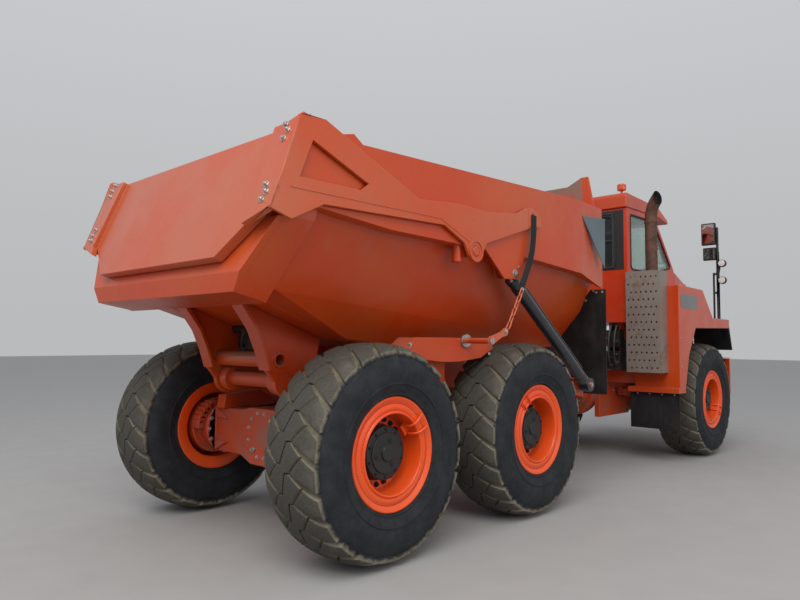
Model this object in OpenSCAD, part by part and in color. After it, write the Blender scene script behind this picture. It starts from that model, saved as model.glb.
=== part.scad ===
// Articulated dump truck, six wheels, millimetres, Z up, X forward.
// Every X below is measured from the rearmost axle. from_rear_axle() puts the
// middle of the overall length over the origin.

/* [Wheels] */
// Radius over the tyre lugs
tyre_r = 775; // [745:5:800]
// Width of a tyre over its sidewalls
tyre_w = 590; // [560:5:610]
// Height of the tyre lugs
lug_h = 36; // [20:1:45]
// Lugs on each shoulder of a tyre
lug_count = 22; // [18:2:26]
// Width of one lug along the tread
lug_w = 138; // [100:2:150]
// Radius of the rim over its flanges
rim_r = 398; // [385:1:410]
// Width of the rim over its flanges
rim_w = 506; // [480:2:520]
// Radius of the barrel that the tyre beads sit on
barrel_r = 318; // [312:1:322]
// Radius of the wheel hub
hub_r = 190; // [170:5:210]
// How far the hub stands outboard of the wheel's middle plane
hub_reach = 182; // [150:2:210]
// Distance of the wheel disc from the wheel's middle plane
disc_in = 25; // [10:5:60]

/* [Axles] */
// Distance between the middle planes of a left and a right wheel
track = 2287; // [2260:1:2300]
// Distance between the two rear axles
tandem = 1877; // [1800:1:1950]
// Distance from the rearmost axle to the front axle
wheelbase = 6378; // [6300:1:6450]
// Half height of an axle beam beside its middle
axle_half_h = 190; // [160:5:210]
// Thickness of an axle beam along the truck
axle_t = 280; // [240:5:320]
// Radius of the wheel spindles
spindle_r = 125; // [100:5:140]

/* [Rear frame] */
// Outer half width of the rear frame rails
rear_rail_y = 380; // [350:5:390]
// Thickness of a rear frame rail
rear_rail_t = 90; // [70:5:110]
// Height of the top of the rear frame
rear_rail_top = 1400; // [1350:5:1420]
// How far the steering pivot is behind the front axle
pivot_back = 2128; // [2080:4:2180]
// Place of the body hinge
hinge_x = -200; // [-230:5:-170]
// Height of the body hinge
hinge_z = 1240; // [1220:5:1260]
// Radius of the body hinge pin
hinge_pin_r = 60; // [45:1:70]

/* [Front frame] */
// Outer half width of the front frame plates
front_rail_y = 420; // [390:5:430]
// Lowest edge of the front frame behind the axle
front_rail_low = 560; // [520:5:620]
// Height of the top of the front frame
front_rail_top = 1180; // [1150:5:1190]
// How far the frame reaches ahead of the front axle
nose_ahead = 1922; // [1820:4:1970]

/* [Dump body] */
// Half width over the side rails of the body
bed_y = 1355; // [1340:1:1358]
// Width of a side rail
rail_t = 110; // [80:5:130]
// Height of the flat floor's underside
floor_z = 1510; // [1500:1:1530]
// Half width of the floor
floor_y = 690; // [650:5:720]
// Half width where the wall changes its slope
wall_y = 1030; // [1000:5:1050]
// Height where the wall changes its slope
wall_z = 1900; // [1880:5:1930]
// Height where the sloping wall meets the rail
knee_z = 2400; // [2390:5:2420]
// Plate thickness of the floor and walls
plate_t = 25; // [20:1:40]
// Height of the rail at the rear
rail_top_rear = 2905; // [2880:5:2920]
// Height of the rail at the front
rail_top_front = 3030; // [3000:5:3040]
// Front end of the body
bed_front = 3600; // [3560:10:3640]
// How far the front wall is behind the body's front end
bulkhead_back = 290; // [260:5:320]

/* [Tailgate] */
// Lean of the tailgate from the vertical
gate_lean = 20.5; // [18:0.5:22]
// Place of the gate's lower edge
gate_x = -1129; // [-1140:1:-1120]
// Height of the gate's lower edge
gate_z = 2088; // [2070:1:2100]
// Thickness of the gate
gate_t = 70; // [50:5:80]
// Gap between the closed gate and the body's end
gate_gap = 10; // [6:1:14]
// Thickness of a side arm
arm_t = 25; // [20:1:30]
// Running gap between an arm and the body
arm_gap = 11; // [8:1:14]
// Place of the arm pivot
arm_pivot_x = 940; // [920:5:960]
// Height of the arm pivot
arm_pivot_z = 2293; // [2280:1:2310]

/* [Gate chain] */
// Place of the chain's lower pin on the rear frame
chain_x = 1107; // [1090:1:1115]
// Height of the chain's lower pin
chain_z = 1566; // [1555:1:1570]
// Thickness of the chain's plates
chain_t = 12; // [8:1:16]
// Radius of a chain link's wire
link_wire = 7; // [6:0.5:8]
// Links in each chain
link_count = 6; // [5:1:6]

/* [Hoist] */
// Middle plane of a hoist cylinder
hoist_y = 1265; // [1263:1:1268]
// Place of the upper hoist pin
hoist_top_x = 1560; // [1540:5:1580]
// Height of the upper hoist pin
hoist_top_z = 2180; // [2170:5:2190]
// How far the lower hoist pin is ahead of the middle axle
hoist_ahead = 1123; // [1103:5:1143]
// Height of the lower hoist pin
hoist_low_z = 1120; // [1110:5:1130]
// Outer radius of the hoist barrel
hoist_r = 58; // [52:1:60]

/* [Cab] */
// Half width of the cab
cab_y = 820; // [800:5:830]
// How far the cab's rear face is behind the front axle
cab_back = 1378; // [1350:4:1398]
// Height of the cab floor
cab_floor_z = 1820; // [1800:5:1840]
// Height of the underside of the roof
cab_roof_z = 3345; // [3320:5:3370]
// Thickness of the cab walls and doors
cab_wall = 50; // [40:1:60]

/* [Guards] */
// Outer half width of the front wheel guards
guard_y = 1420; // [1400:1:1425]
// Thickness of the guard plates
guard_t = 30; // [20:1:40]
// Gap between the cab and a guard
guard_in = 15; // [10:1:20]
// Height of the flat top over the front wheel
guard_top = 1900; // [1880:5:1920]

/* [Hidden] */
$fn = 64;
seat_gap = 0.3;
run_gap = 9;
pivot_x = wheelbase - pivot_back;
// The front half is drawn with its axle at this X, and stands where the wheelbase puts it
front_axle_x = 6378;
cab_x = front_axle_x - cab_back;
nose_x = front_axle_x + nose_ahead;
// Overall length, from the gate's lower edge to the bumper
overhang = 180;
tip_x = nose_x + overhang;
rear_x = -(tip_x + wheelbase - front_axle_x + gate_x) / 2;
axle_z = tyre_r;
wheel_y = track / 2;
mid_x = tandem;
bogie_x = tandem / 2;
hoist_low_x = mid_x + hoist_ahead;
bulkhead_x = bed_front - bulkhead_back;
gate_slope = tan(gate_lean);
ORANGE = "#d8501c";
DARK = "#26282b";
RUBBER = "#2b2c2e";
STEEL = "#8b8d8c";

module from_rear_axle() { translate([rear_x, 0, 0]) children(); }
module on_front_half() from_rear_axle() translate([wheelbase - front_axle_x, 0, 0]) children();
module both_sides() { children(); mirror([0, 1, 0]) children(); }
module on_side(s) { if (s > 0) children(); else mirror([0, 1, 0]) children(); }
// A plate seen from the side, points are x and z
module side_plate(points, y, t)
  translate([0, y + t, 0]) rotate([90, 0, 0]) linear_extrude(t) polygon(points);
// A bar with one section along the truck, points are y and z
module long_bar(points, x, len)
  translate([x, 0, 0]) rotate([90, 0, 90]) linear_extrude(len) polygon(points);
// A flat sheet seen from above, points are x and y
module flat_plate(points, z, t) translate([0, 0, z]) linear_extrude(t) polygon(points);
module y_rod(r, y0, y1) translate([0, y0, 0]) rotate([-90, 0, 0]) cylinder(r = r, h = y1 - y0);
module x_rod(r, x0, x1) translate([x0, 0, 0]) rotate([0, 90, 0]) cylinder(r = r, h = x1 - x0);
function mirrored(half) = concat(half, [for (i = [len(half) - 1:-1:0]) [-half[i][0], half[i][1]]]);
function box2(x0, x1, z0, z1) = [[x0, z0], [x1, z0], [x1, z1], [x0, z1]];

// Tyres: a carcass with an arc for each sidewall, and two staggered rows of skewed lugs
crown_r = tyre_r - lug_h;
side_arc_r = 240;
side_mid_r = 570;
side_arc_a = 40;
bead_y = rim_w / 2 - 16;
lug_skew = 62;
lug_foot = 60;
module lug(a) {
  y_in = 10;
  y_out = tyre_w / 2 - 8;
  rotate([0, a, 0]) translate([0, 0, crown_r - lug_foot + 10]) linear_extrude(lug_h + lug_foot)
    polygon([[-lug_w / 2, y_in], [lug_w / 2, y_in], [lug_w / 2 + lug_skew, y_out],
      [-lug_w / 2 + lug_skew, y_out]]);
}
module tyre_shape() {
  sidewall = [for (a = [side_arc_a:-20:-side_arc_a])
    [side_mid_r + side_arc_r * sin(a), tyre_w / 2 - side_arc_r * (1 - cos(a))]];
  half = concat([[crown_r, tyre_w / 2 - 90]], sidewall, [[rim_r + 8, bead_y - seat_gap],
    [barrel_r + seat_gap, bead_y - seat_gap]]);
  other = [for (i = [len(half) - 1:-1:0]) [half[i][0], -half[i][1]]];
  pitch = 360 / lug_count;
  rotate([90, 0, 0]) rotate_extrude() polygon(concat(half, other));
  intersection() {
    for (i = [0:lug_count - 1]) {
      lug(i * pitch);
      rotate([0, pitch / 2, 0]) mirror([0, 1, 0]) lug(i * pitch);
    }
    rotate([90, 0, 0]) cylinder(r = tyre_r, h = tyre_w, center = true);
  }
}
// Rim, disc and hub turn as one piece, outboard is +Y
module rim_shape() {
  flange = rim_w / 2;
  hub_y = hub_reach;
  rotate([-90, 0, 0]) rotate_extrude() polygon([[0, hub_y + 18], [hub_r - 45, hub_y + 18], [hub_r - 40,
    hub_y],
    [hub_r, hub_y - 5], [hub_r, disc_in + 45], [276, disc_in + 45], [278, flange - 8], [290, flange + 4],
    [304, flange - 6], [346, flange - 14], [354, flange - 4], [rim_r - 12, flange + 2], [rim_r, flange - 3],
    [rim_r, bead_y], [barrel_r, bead_y], [barrel_r, -bead_y], [rim_r, -bead_y], [rim_r, -flange],
    [rim_r - 14, -flange - 2], [304, -flange + 10], [292, -flange + 24], [292, disc_in], [0, disc_in]]);
}
module wheel_place(x, s) {
  from_rear_axle() translate([x, s * wheel_y, axle_z]) on_side(s) children();
}
module tyre(x, s) { color(RUBBER) wheel_place(x, s) tyre_shape(); }
module rim(x, s) { color(ORANGE) wheel_place(x, s) rim_shape(); }

// Axles: a banjo beam, a bolted flange and brake drum at each end, and the spindle
drum_r = 250;
module axle_shape() {
  half = axle_half_h;
  bowl = half + 60;
  end_y = wheel_y - 420;
  slope_y = end_y - 60;
  translate([-axle_t / 2, 0, 0]) rotate([90, 0, 90]) linear_extrude(axle_t) polygon([[-end_y, -150],
    [-slope_y, -half], [-300, -half], [-150, -bowl], [150, -bowl], [300, -half], [slope_y, -half], [end_y,
      -150],
    [end_y, 150], [slope_y, half], [280, half], [160, bowl - 30], [-160, bowl - 30], [-280, half],
    [-slope_y, half], [-end_y, 150]]);
  both_sides() {
    y_rod(228, end_y - 40, end_y);
    y_rod(190, end_y - 5, wheel_y - 250);
    y_rod(drum_r, wheel_y - 250, wheel_y - 60);
    y_rod(spindle_r, wheel_y - 61, wheel_y + disc_in - seat_gap);
  }
}
module mid_axle() {
  color(ORANGE) from_rear_axle() translate([mid_x, 0, axle_z]) {
    axle_shape();
    x_rod(120, 0, 330);
  }
}
module rear_axle() {
  color(ORANGE) from_rear_axle() translate([0, 0, axle_z]) {
    axle_shape();
    x_rod(120, 0, 330);
  }
}
strut_y = 590;
lead_pin_x = -880;
lead_pin_z = 110;
module front_axle() {
  color(ORANGE) from_rear_axle() translate([wheelbase, 0, axle_z]) {
    axle_shape();
    // leading arms and struts
    both_sides() {
      difference() {
        side_plate([[-930, 60], [-60, -60], [60, -60], [60, 60], [-60, 100], [-930, 160]],
          front_rail_y + 20, 60);
        translate([lead_pin_x, 0, lead_pin_z]) y_rod(30 + seat_gap, front_rail_y, front_rail_y + 100);
      }
      translate([0, strut_y, 0]) cylinder(r = 60, h = 620);
    }
    x_rod(110, -300, 0);
  }
}

// Rear frame
rail_in = rear_rail_y - rear_rail_t;
neck_x = hoist_low_x + 450;
post_r = 130;
module rear_chassis() {
  rail = [[hinge_x, hinge_z - 105], [hinge_x, hinge_z + 105], [hinge_x + 110, rear_rail_top - 30],
    [hinge_x + 200, rear_rail_top], [neck_x, rear_rail_top], [neck_x, 960], [neck_x - 950, 960],
    [neck_x - 1150, 1010], [300, 1010], [100, 1130]];
  color(ORANGE) from_rear_axle() {
    both_sides() {
      side_plate(rail, rail_in, rear_rail_t);
      translate([hinge_x, 0, hinge_z]) y_rod(105, rail_in, rear_rail_y);
      // body rest pads
      translate([1200, rail_in + 10, rear_rail_top]) cube([neck_x - 1450, rear_rail_t - 20,
        floor_z - rear_rail_top - seat_gap]);
      // hoist outrigger with its clevis
      side_plate([[hoist_low_x - 110, hoist_low_z - 100], [hoist_low_x + 110, hoist_low_z - 140],
        [hoist_low_x + 110, hoist_low_z + 60], [hoist_low_x - 110, hoist_low_z + 60]], rear_rail_y - 1,
        hoist_y - hoist_r - 29 - rear_rail_y);
      translate([hoist_low_x, 0, hoist_low_z]) y_rod(60, hoist_y - hoist_r - 60, hoist_y - hoist_r + 8);
      translate([hoist_low_x, 0, hoist_low_z]) y_rod(hoist_pin_r, hoist_y - hoist_r, hoist_y + 66);
      // steering cylinder clevis
      for (z = [steer_z - 70, steer_z + 42]) translate([steer_base_x - 70, rear_rail_y - 5, z]) cube([140,
        steer_base_y + 65 - rear_rail_y, 28]);
      translate([steer_base_x, steer_base_y, steer_z - 60]) cylinder(r = 24.7, h = 120);
      // chain outrigger between the tyres
      side_plate(box2(bogie_x - 110, bogie_x + 110, 1180, 1400), rear_rail_y, 600);
      side_plate([[bogie_x - 585, 1505], [bogie_x - 450, 1590], [bogie_x + 450, 1590], [bogie_x + 585,
        1505],
        [bogie_x + 400, 1418], [bogie_x + 110, 1390], [bogie_x - 110, 1390], [bogie_x - 400, 1418]], 960,
          190);
      // pin of the gate chain
      translate([chain_x, 0, chain_z]) y_rod(24, 1149, chain_y + chain_t / 2 + 10);
    }
    // cross members
    for (x = [bogie_x, neck_x - 750]) translate([x, 0, 1250]) y_rod(90, -rail_in, rail_in);
    translate([hinge_x, 0, hinge_z]) y_rod(hinge_pin_r, -rear_rail_y - 58, rear_rail_y + 58);
    // neck and pivot post
    difference() {
      union() {
        flat_plate([[neck_x, -rear_rail_y], [pivot_x - 60, -post_r], [pivot_x, -post_r], [pivot_x, post_r],
          [pivot_x - 60, post_r], [neck_x, rear_rail_y]], 960, 240);
        translate([pivot_x, 0, 800]) cylinder(r = post_r, h = 400);
      }
      translate([pivot_x, 0, 780]) cylinder(r = 60.3, h = 500);
    }
  }
}
beam_y = 500;
module walking_beams() {
  color(ORANGE) from_rear_axle() both_sides() {
    side_plate([[-180, axle_z + 190 + seat_gap], [200, axle_z + 190 + seat_gap], [bogie_x, 1010],
      [mid_x - 200, axle_z + 190 + seat_gap], [mid_x + 180, axle_z + 190 + seat_gap], [mid_x + 160, 1080],
      [bogie_x + 150, 1170], [bogie_x - 150, 1170], [-160, 1080]], beam_y, 120);
    translate([bogie_x, 0, 1090]) y_rod(90, rear_rail_y + seat_gap, beam_y);
  }
}
module driveshaft() {
  color(DARK) from_rear_axle() {
    translate([0, 0, axle_z]) x_rod(50, 330 + seat_gap, mid_x - axle_t / 2 - seat_gap);
    translate([0, 0, axle_z]) x_rod(55, mid_x + 330 + seat_gap, pivot_x - 500);
  }
}

// Hitch between the frames: a turning ring and two lugs about the pivot post
ring_ahead = 500;
ring_x = pivot_x + ring_ahead;
ring_z = 950;
ring_r = 330;
steer_eye_x = pivot_x + 270;
steer_eye_y = 400;
steer_base_x = neck_x - 150;
steer_base_y = 500;
steer_z = 1000;
module hitch() {
  color(ORANGE) from_rear_axle() {
    translate([0, 0, ring_z]) x_rod(ring_r, ring_x, ring_x + 80);
    translate([0, 0, ring_z]) x_rod(190, pivot_x + 190, ring_x + 1);
    for (z = [700, 1206]) {
      translate([pivot_x, 0, z]) cylinder(r = 150, h = 94);
      translate([pivot_x, -150, z]) cube([300, 300, 94]);
    }
    translate([pivot_x, 0, 700]) cylinder(r = 60, h = 600);
    translate([pivot_x + 200, -150, 700]) cube([100, 300, 600]);
    both_sides() for (z = [steer_z - 85, steer_z + 51])
      flat_plate([[steer_eye_x - 60, 140], [steer_eye_x + 90, 140], [steer_eye_x + 60, steer_eye_y + 70],
        [steer_eye_x - 60, steer_eye_y + 70]], z, 34);
  }
}

// Front frame
axle_gap = 60;
ring_at = front_axle_x - pivot_back + ring_ahead;
module front_chassis() {
  plate = [[4960, front_rail_low], [5850, front_rail_low], [front_axle_x - 320,
    axle_z + axle_half_h + axle_gap],
    [front_axle_x + 320, axle_z + axle_half_h + axle_gap], [front_axle_x + 560, 800], [nose_x, 800],
    [nose_x, front_rail_top], [4960, front_rail_top]];
  inner = front_rail_y - 70;
  color(ORANGE) on_front_half() {
    both_sides() {
      side_plate(plate, inner, 70);
      // pin of the axle's leading arm
      translate([front_axle_x + lead_pin_x, 0, axle_z + lead_pin_z]) y_rod(30, front_rail_y - 5,
        front_rail_y + 85);
      // outriggers that carry the guards, and posts under the cab
      for (p = [[5180, cab_y + guard_in - seat_gap], [5900, 710]]) {
        side_plate(box2(p[0], p[0] + 120, front_rail_top - 160, front_rail_top), front_rail_y - 1,
          p[1] - front_rail_y + 1);
        translate([p[0] + 60, 640, front_rail_top - 1]) cylinder(r = 60,
          h = cab_floor_z - front_rail_top + 1 - seat_gap);
      }
      // towers over the axle's struts
      translate([front_axle_x, strut_y, axle_z + 620 + seat_gap]) cylinder(r = 75, h = 120);
      side_plate(box2(front_axle_x - 80, front_axle_x + 80, axle_z + 738, axle_z + 800), inner, 300);
      side_plate(box2(front_axle_x - 80, front_axle_x + 80, front_rail_top - 50, axle_z + 739), inner, 60);
    }
    difference() {
      translate([0, 0, ring_z]) x_rod(390, ring_at + 80 + seat_gap, 5060);
      translate([0, 0, ring_z]) x_rod(200, ring_at + 200, 5070);
    }
    for (x = [5500, 7300]) translate([x, 0, 950]) y_rod(80, -inner, inner);
    translate([nose_x - 60, -front_rail_y, 800]) cube([60, 2 * front_rail_y, 350]);
  }
}
bumper_y = 1300;
module bumper() {
  color(ORANGE) on_front_half() {
    difference() {
      flat_plate([[nose_x + seat_gap, -bumper_y + 250], [nose_x - 850, -bumper_y], [nose_x - 850,
        -bumper_y + 60],
        [nose_x + seat_gap, -500], [nose_x + seat_gap, 500], [nose_x - 850, bumper_y - 60], [nose_x - 850,
          bumper_y],
        [nose_x + seat_gap, bumper_y - 250], [tip_x, 900], [tip_x, -900]], 760, 560);
      both_sides() translate([tip_x - 60, 620, 1060]) cube([100, 220, 160]);
    }
    // ears of the hood's hinge
    both_sides() difference() {
      side_plate([[hood_hinge_x - 60, 1310], [hood_hinge_x + 60, 1310], [hood_hinge_x + 30,
        hood_hinge_z + 25],
        [hood_hinge_x + 15, hood_hinge_z + 35], [hood_hinge_x - 15, hood_hinge_z + 35],
        [hood_hinge_x - 30, hood_hinge_z + 25]], 530, 30);
      translate([hood_hinge_x, 0, hood_hinge_z]) y_rod(20 + seat_gap, 500, 600);
    }
  }
}
module headlamps() {
  color("white") on_front_half() both_sides()
    translate([tip_x - 60 + seat_gap, 624, 1064]) cube([50, 212, 152]);
}
module engine_block() {
  color(DARK) on_front_half() {
    translate([6750, -300, 1090]) cube([1050, 600, 810]);
    both_sides() translate([6900, 299, 1100]) cube([120, front_rail_y - 369 - seat_gap, 60]);
    translate([7900, -front_rail_y, front_rail_top + seat_gap]) cube([120, 2 * front_rail_y, 720]);
  }
}

// Hood: a sloping shell that tips forward with the grille
hood_rear = 6640;
hood_rear_z = 2600;
hood_front_z = 2130;
hood_hinge_z = 1400;
hood_hinge_x = nose_x + 20;
hood_t = 30;
module hood_form(y, top, rear, front) {
  intersection() {
    side_plate([[rear, 1450], [rear, hood_rear_z - top], [front - 120, hood_front_z - top],
      [front, hood_front_z - 140 - top], [front, 1450]], -1000, 2000);
    flat_plate([[rear - 10, -y], [front, -y + 130], [front, y - 130], [rear - 10, y]], 1400, 1400);
  }
}
module hood() {
  color(ORANGE) on_front_half() {
    difference() {
      hood_form(cab_y - 10, 0, hood_rear, nose_x + 60);
      translate([0, 0, -1]) hood_form(cab_y - 10 - hood_t, hood_t, hood_rear - 5, nose_x + 60 - hood_t);
      translate([nose_x - 20, -460, 1500]) cube([200, 920, 480]);
      // wheel side of the hood is cut up over the guards
      both_sides() translate([6600, 500, 1400]) cube([1200, 500, 520]);
    }
    // hinge ears and pins under the nose
    both_sides() {
      side_plate([[hood_hinge_x - 22, hood_hinge_z - 22], [hood_hinge_x + 22, hood_hinge_z - 22],
        [hood_hinge_x + 38, 1470], [hood_hinge_x + 12, 1470]], 490, 30);
      translate([hood_hinge_x, 0, hood_hinge_z]) y_rod(20, 490, 566);
    }
  }
}
slat_count = 9;
module grille() {
  color(DARK) on_front_half() {
    for (i = [0:slat_count - 1]) translate([nose_x - 10, -459.5, 1512 + i * 52]) cube([40, 919, 22]);
    for (y = [-459.5, -230, 0, 230, 441.5]) translate([nose_x - 12, y, 1500.5]) cube([20, 18, 479]);
  }
}

// Cab: a shell with its windows cut, a roof, fixed panes and a door on the left
wind_low_x = 6560;
wind_low_z = 2636;
wind_top_x = 5905;
module cab_profile(inset) {
  side_plate([[cab_x + inset, cab_floor_z + inset], [6600 - inset, cab_floor_z + inset],
    [6600 - inset, 2560 - inset], [wind_low_x - inset, wind_low_z - inset], [wind_top_x - inset,
      cab_roof_z - inset],
    [cab_x + inset, cab_roof_z - inset]], -cab_y + inset, 2 * (cab_y - inset));
}
door_x0 = cab_x + 110;
door_hinge_x = cab_x + 105;
door_hinge_y = cab_y + 18;
door_hinge_z = [2050, 2950];
door_x1 = 5960;
door_z0 = cab_floor_z + 30;
door_z1 = cab_roof_z - 60;
module door_outline(inset)
  side_plate([[door_x0 + inset, door_z0 + inset], [door_x1 - inset, door_z0 + inset], [door_x1 - inset,
    3150],
    [door_x1 - 130 - inset, door_z1 - inset], [door_x0 + inset, door_z1 - inset]], 500, 500);
pane_z = 2530;
module side_panes(inset) {
  side_plate([[cab_x + 110 + inset, pane_z + inset], [5700 - inset, pane_z + inset], [5700 - inset,
    cab_roof_z - 80 - inset],
    [cab_x + 110 + inset, cab_roof_z - 80 - inset]], -cab_y - 10, 120);
  side_plate([[5760 + inset, pane_z + inset], [wind_low_x - 100 - inset * 2, wind_low_z + 10 + inset],
    [5950 - inset, 3180 - inset], [5760 + inset, 3240 - inset]], -cab_y - 10, 120);
}
module rear_pane(inset) translate([cab_x - 10, -640 + inset, pane_z + 60 + inset]) cube([120,
  1280 - 2 * inset, 660 - 2 * inset]);
wind_angle = atan2(wind_low_x - wind_top_x, cab_roof_z - wind_low_z);
module wind_pane(inset, x0, x1)
  translate([wind_low_x, 0, wind_low_z]) rotate([0, -wind_angle, 0]) translate([x0, -740 + inset,
    70 + inset])
    cube([x1 - x0, 1480 - 2 * inset, 830 - 2 * inset]);
module cab_shell() {
  color("#c9431a") on_front_half() {
    difference() {
      cab_profile(0);
      cab_profile(cab_wall);
      side_panes(0);
      rear_pane(0);
      wind_pane(0, -150, 20);
      door_outline(0);
      // front side pane on the left, in front of the door
      mirror([0, 1, 0]) side_plate([[6030, pane_z + 20], [wind_low_x - 120, wind_low_z + 20], [6030,
        3100]], -cab_y - 10, 120);
    }
    // rings of the door hinge
    for (z = door_hinge_z) difference() {
      union() {
        translate([door_hinge_x, door_hinge_y, z]) cylinder(r = 20, h = 50);
        translate([door_hinge_x - 40, cab_y - 1, z]) cube([40, 19, 50]);
      }
      translate([door_hinge_x, door_hinge_y, z - 1]) cylinder(r = 10 + seat_gap, h = 60);
    }
  }
}
module cab_roof() {
  color(ORANGE) on_front_half() {
    side_plate([[cab_x - 40, cab_roof_z + seat_gap], [6020, cab_roof_z + seat_gap], [6350, cab_roof_z - 60],
      [6330, cab_roof_z], [6000, cab_roof_z + 145], [cab_x - 20, cab_roof_z + 195], [cab_x - 40,
        cab_roof_z + 150]],
      -cab_y - 15, 2 * cab_y + 30);
  }
}
// Height of the roof's top over its underside, at a distance from the cab's rear face
function roof_rise(x) = 195 - (x + 20) * 50 / (6000 - cab_x + 20);
module cab_glass() {
  color("#5f7f78", 0.6) on_front_half() {
    intersection() {
      side_panes(seat_gap);
      translate([4000, -cab_y + 20, 0]) cube([4000, 8, 4000]);
    }
    translate([cab_x + 20, -640 + seat_gap, pane_z + 60 + seat_gap]) cube([8, 1280 - 2 * seat_gap,
      660 - 2 * seat_gap]);
    wind_pane(seat_gap, -22, -12);
    mirror([0, 1, 0]) side_plate([[6030.3, pane_z + 20.7], [wind_low_x - 121, wind_low_z + 20.4], [6030.3,
      3099]], -cab_y + 20, 8);
  }
}
guard_bars = 9;
module window_guard() {
  color(DARK) on_front_half() {
    for (i = [0:guard_bars - 1]) translate([cab_x - 26, -640 + i * 158, pane_z + 20]) cube([10, 16, 740]);
    for (z = [pane_z + 20, pane_z + 380, pane_z + 744]) translate([cab_x - 16, -650,
      z]) cube([16 - seat_gap, 1300, 16]);
  }
}
module cab_door() {
  color("#c9431a") on_front_half() for (z = door_hinge_z) {
    translate([door_hinge_x, door_hinge_y, z - 8]) cylinder(r = 10, h = 80);
    translate([door_hinge_x - 8, door_hinge_y - 8, z + 53]) cube([68, 18, 19]);
    translate([door_x0 + 14, cab_y - 2, z + 53]) cube([46, 20, 19]);
  }
  color("#c9431a") on_front_half() difference() {
    intersection() {
      door_outline(run_gap);
      translate([4000, cab_y - cab_wall, 0]) cube([4000, cab_wall, 4000]);
    }
    side_plate([[door_x0 + 90, 2400], [door_x1 - 90, 2400], [door_x1 - 90, 3080], [door_x1 - 190,
      door_z1 - 90],
      [door_x0 + 90, door_z1 - 90]], 500, 500);
  }
}
module door_glass() {
  color("#5f7f78", 0.6) on_front_half()
    side_plate([[door_x0 + 90.5, 2400.5], [door_x1 - 90.5, 2400.5], [door_x1 - 90.5, 3080],
      [door_x1 - 190, door_z1 - 90.5],
      [door_x0 + 90.5, door_z1 - 90.5]], cab_y - 30, 8);
}
module seat() {
  color(DARK) on_front_half() {
    translate([5300, -200, cab_floor_z + cab_wall + seat_gap]) cube([400, 400, 280]);
    translate([5250, -260, cab_floor_z + cab_wall + 280 + seat_gap]) cube([520, 520, 130]);
    side_plate([[5250, 2280.6], [5370, 2280.6], [5280, 2960], [5180, 2960]], -240, 480);
  }
}
module dashboard() {
  color(DARK) on_front_half() {
    side_plate([[6150, cab_floor_z + cab_wall + seat_gap], [6540, cab_floor_z + cab_wall + seat_gap],
      [6540, 2480],
      [6280, 2540], [6180, 2480]], -cab_y + cab_wall + 20, 2 * (cab_y - cab_wall - 20));
    translate([6190, 0, 2440]) rotate([0, -40, 0]) {
      translate([0, 0, -60]) cylinder(r = 28, h = 200);
      translate([0, 0, 150]) rotate_extrude() translate([190, 0]) circle(r = 16, $fn = 24);
      for (a = [0, 120, 240]) rotate([0, 0, a]) translate([0, -14, 134]) cube([182, 28, 14]);
    }
  }
}

// Guards over the front wheels, with a tank box behind the wheel on the right
box_x = 5150;
box_top = 2290;
arch = [[5330, 960], [5480, 1400], [5730, 1750], [7060, 1770]];
module guard_right() {
  outline = [[box_x, 960], [box_x, box_top], [5400, box_top], [6010, box_top - 15], [6400, guard_top],
    [7080, guard_top],
    [7080, 1770], [5730, 1750], [5480, 1400], [5340, 960]];
  color(ORANGE) on_front_half() mirror([0, 1, 0]) {
    difference() {
      side_plate(outline, cab_y + guard_in, guard_y - cab_y - guard_in);
      side_plate([[5800, 1700], [5800, 1860], [7200, 1870], [7200, 1700]], cab_y,
        guard_y - guard_t - cab_y);
    }
    translate([box_x - 40, cab_y - 70, 915]) cube([240, guard_y - cab_y + 70, 70]);
  }
}
module guard_left() {
  outline = [[box_x, 960], [box_x, 1300], [box_x + 160, 1300], [box_x + 160, cab_floor_z - 20], [5970,
    cab_floor_z - 20],
    [6070, guard_top], [7080, guard_top], [7080, 1770], [5730, 1750], [5480, 1400], [5340, 960]];
  color(ORANGE) on_front_half() {
    difference() {
      side_plate(outline, cab_y + guard_in, guard_y - cab_y - guard_in);
      side_plate([[5800, 1700], [5800, 1860], [7200, 1870], [7200, 1700]], cab_y,
        guard_y - guard_t - cab_y);
    }
    translate([box_x - 40, cab_y - 70, 915]) cube([240, guard_y - cab_y + 70, 70]);
  }
}
module front_flaps() {
  color(RUBBER) on_front_half() both_sides() {
    translate([box_x + 20, cab_y - 60, 450]) cube([14, guard_y - cab_y + 40, 465 - seat_gap]);
    side_plate([[7080 + seat_gap, 1900], [7080 + seat_gap, 1800], [7250, 1450], [7270, 1450], [7110,
      1900]], cab_y + 60, guard_y - cab_y - 80);
  }
}

// Exhaust behind the cab corner, with its perforated shield
stack_y = 1050;
stack_x = 5225;
module exhaust() {
  color("#5b3d30") on_front_half() translate([stack_x, -stack_y, 0]) {
    // silencer behind the shield, and the pipe on top of the box
    translate([5045 - stack_x, 0, 1260]) cylinder(r = 85, h = 1180);
    translate([0, 0, 2400]) x_rod(55, 5045 - stack_x, 0);
    translate([0, 0, box_top + seat_gap]) cylinder(r = 80, h = 3250 - box_top - seat_gap);
    translate([0, 0, 3250]) sphere(r = 80);
    translate([0, 0, 3250]) rotate([32, -38, 0]) cylinder(r = 80, h = 260);
  }
}
shield_x = 4925;
shield_w = 450;
shield_z0 = 1175;
shield_h = 1300;
hole_cols = 6;
hole_rows = 13;
module heat_shield() {
  color(STEEL) on_front_half() difference() {
    union() {
      translate([shield_x, -stack_y - shield_w / 2, shield_z0]) cube([6, shield_w, shield_h]);
      for (y = [-stack_y - shield_w / 2, -stack_y + shield_w / 2 - 6])
        translate([shield_x, y, shield_z0]) cube([box_x - shield_x - seat_gap, 6, shield_h]);
    }
    for (r = [0:hole_rows - 1], c = [0:hole_cols - 1])
      translate([shield_x - 10, -stack_y - 175 + c * 66 + (r % 2) * 33, shield_z0 + 60 + r * 97])
        rotate([0, 90, 0]) cylinder(r = 12, h = 30);
  }
}
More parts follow.
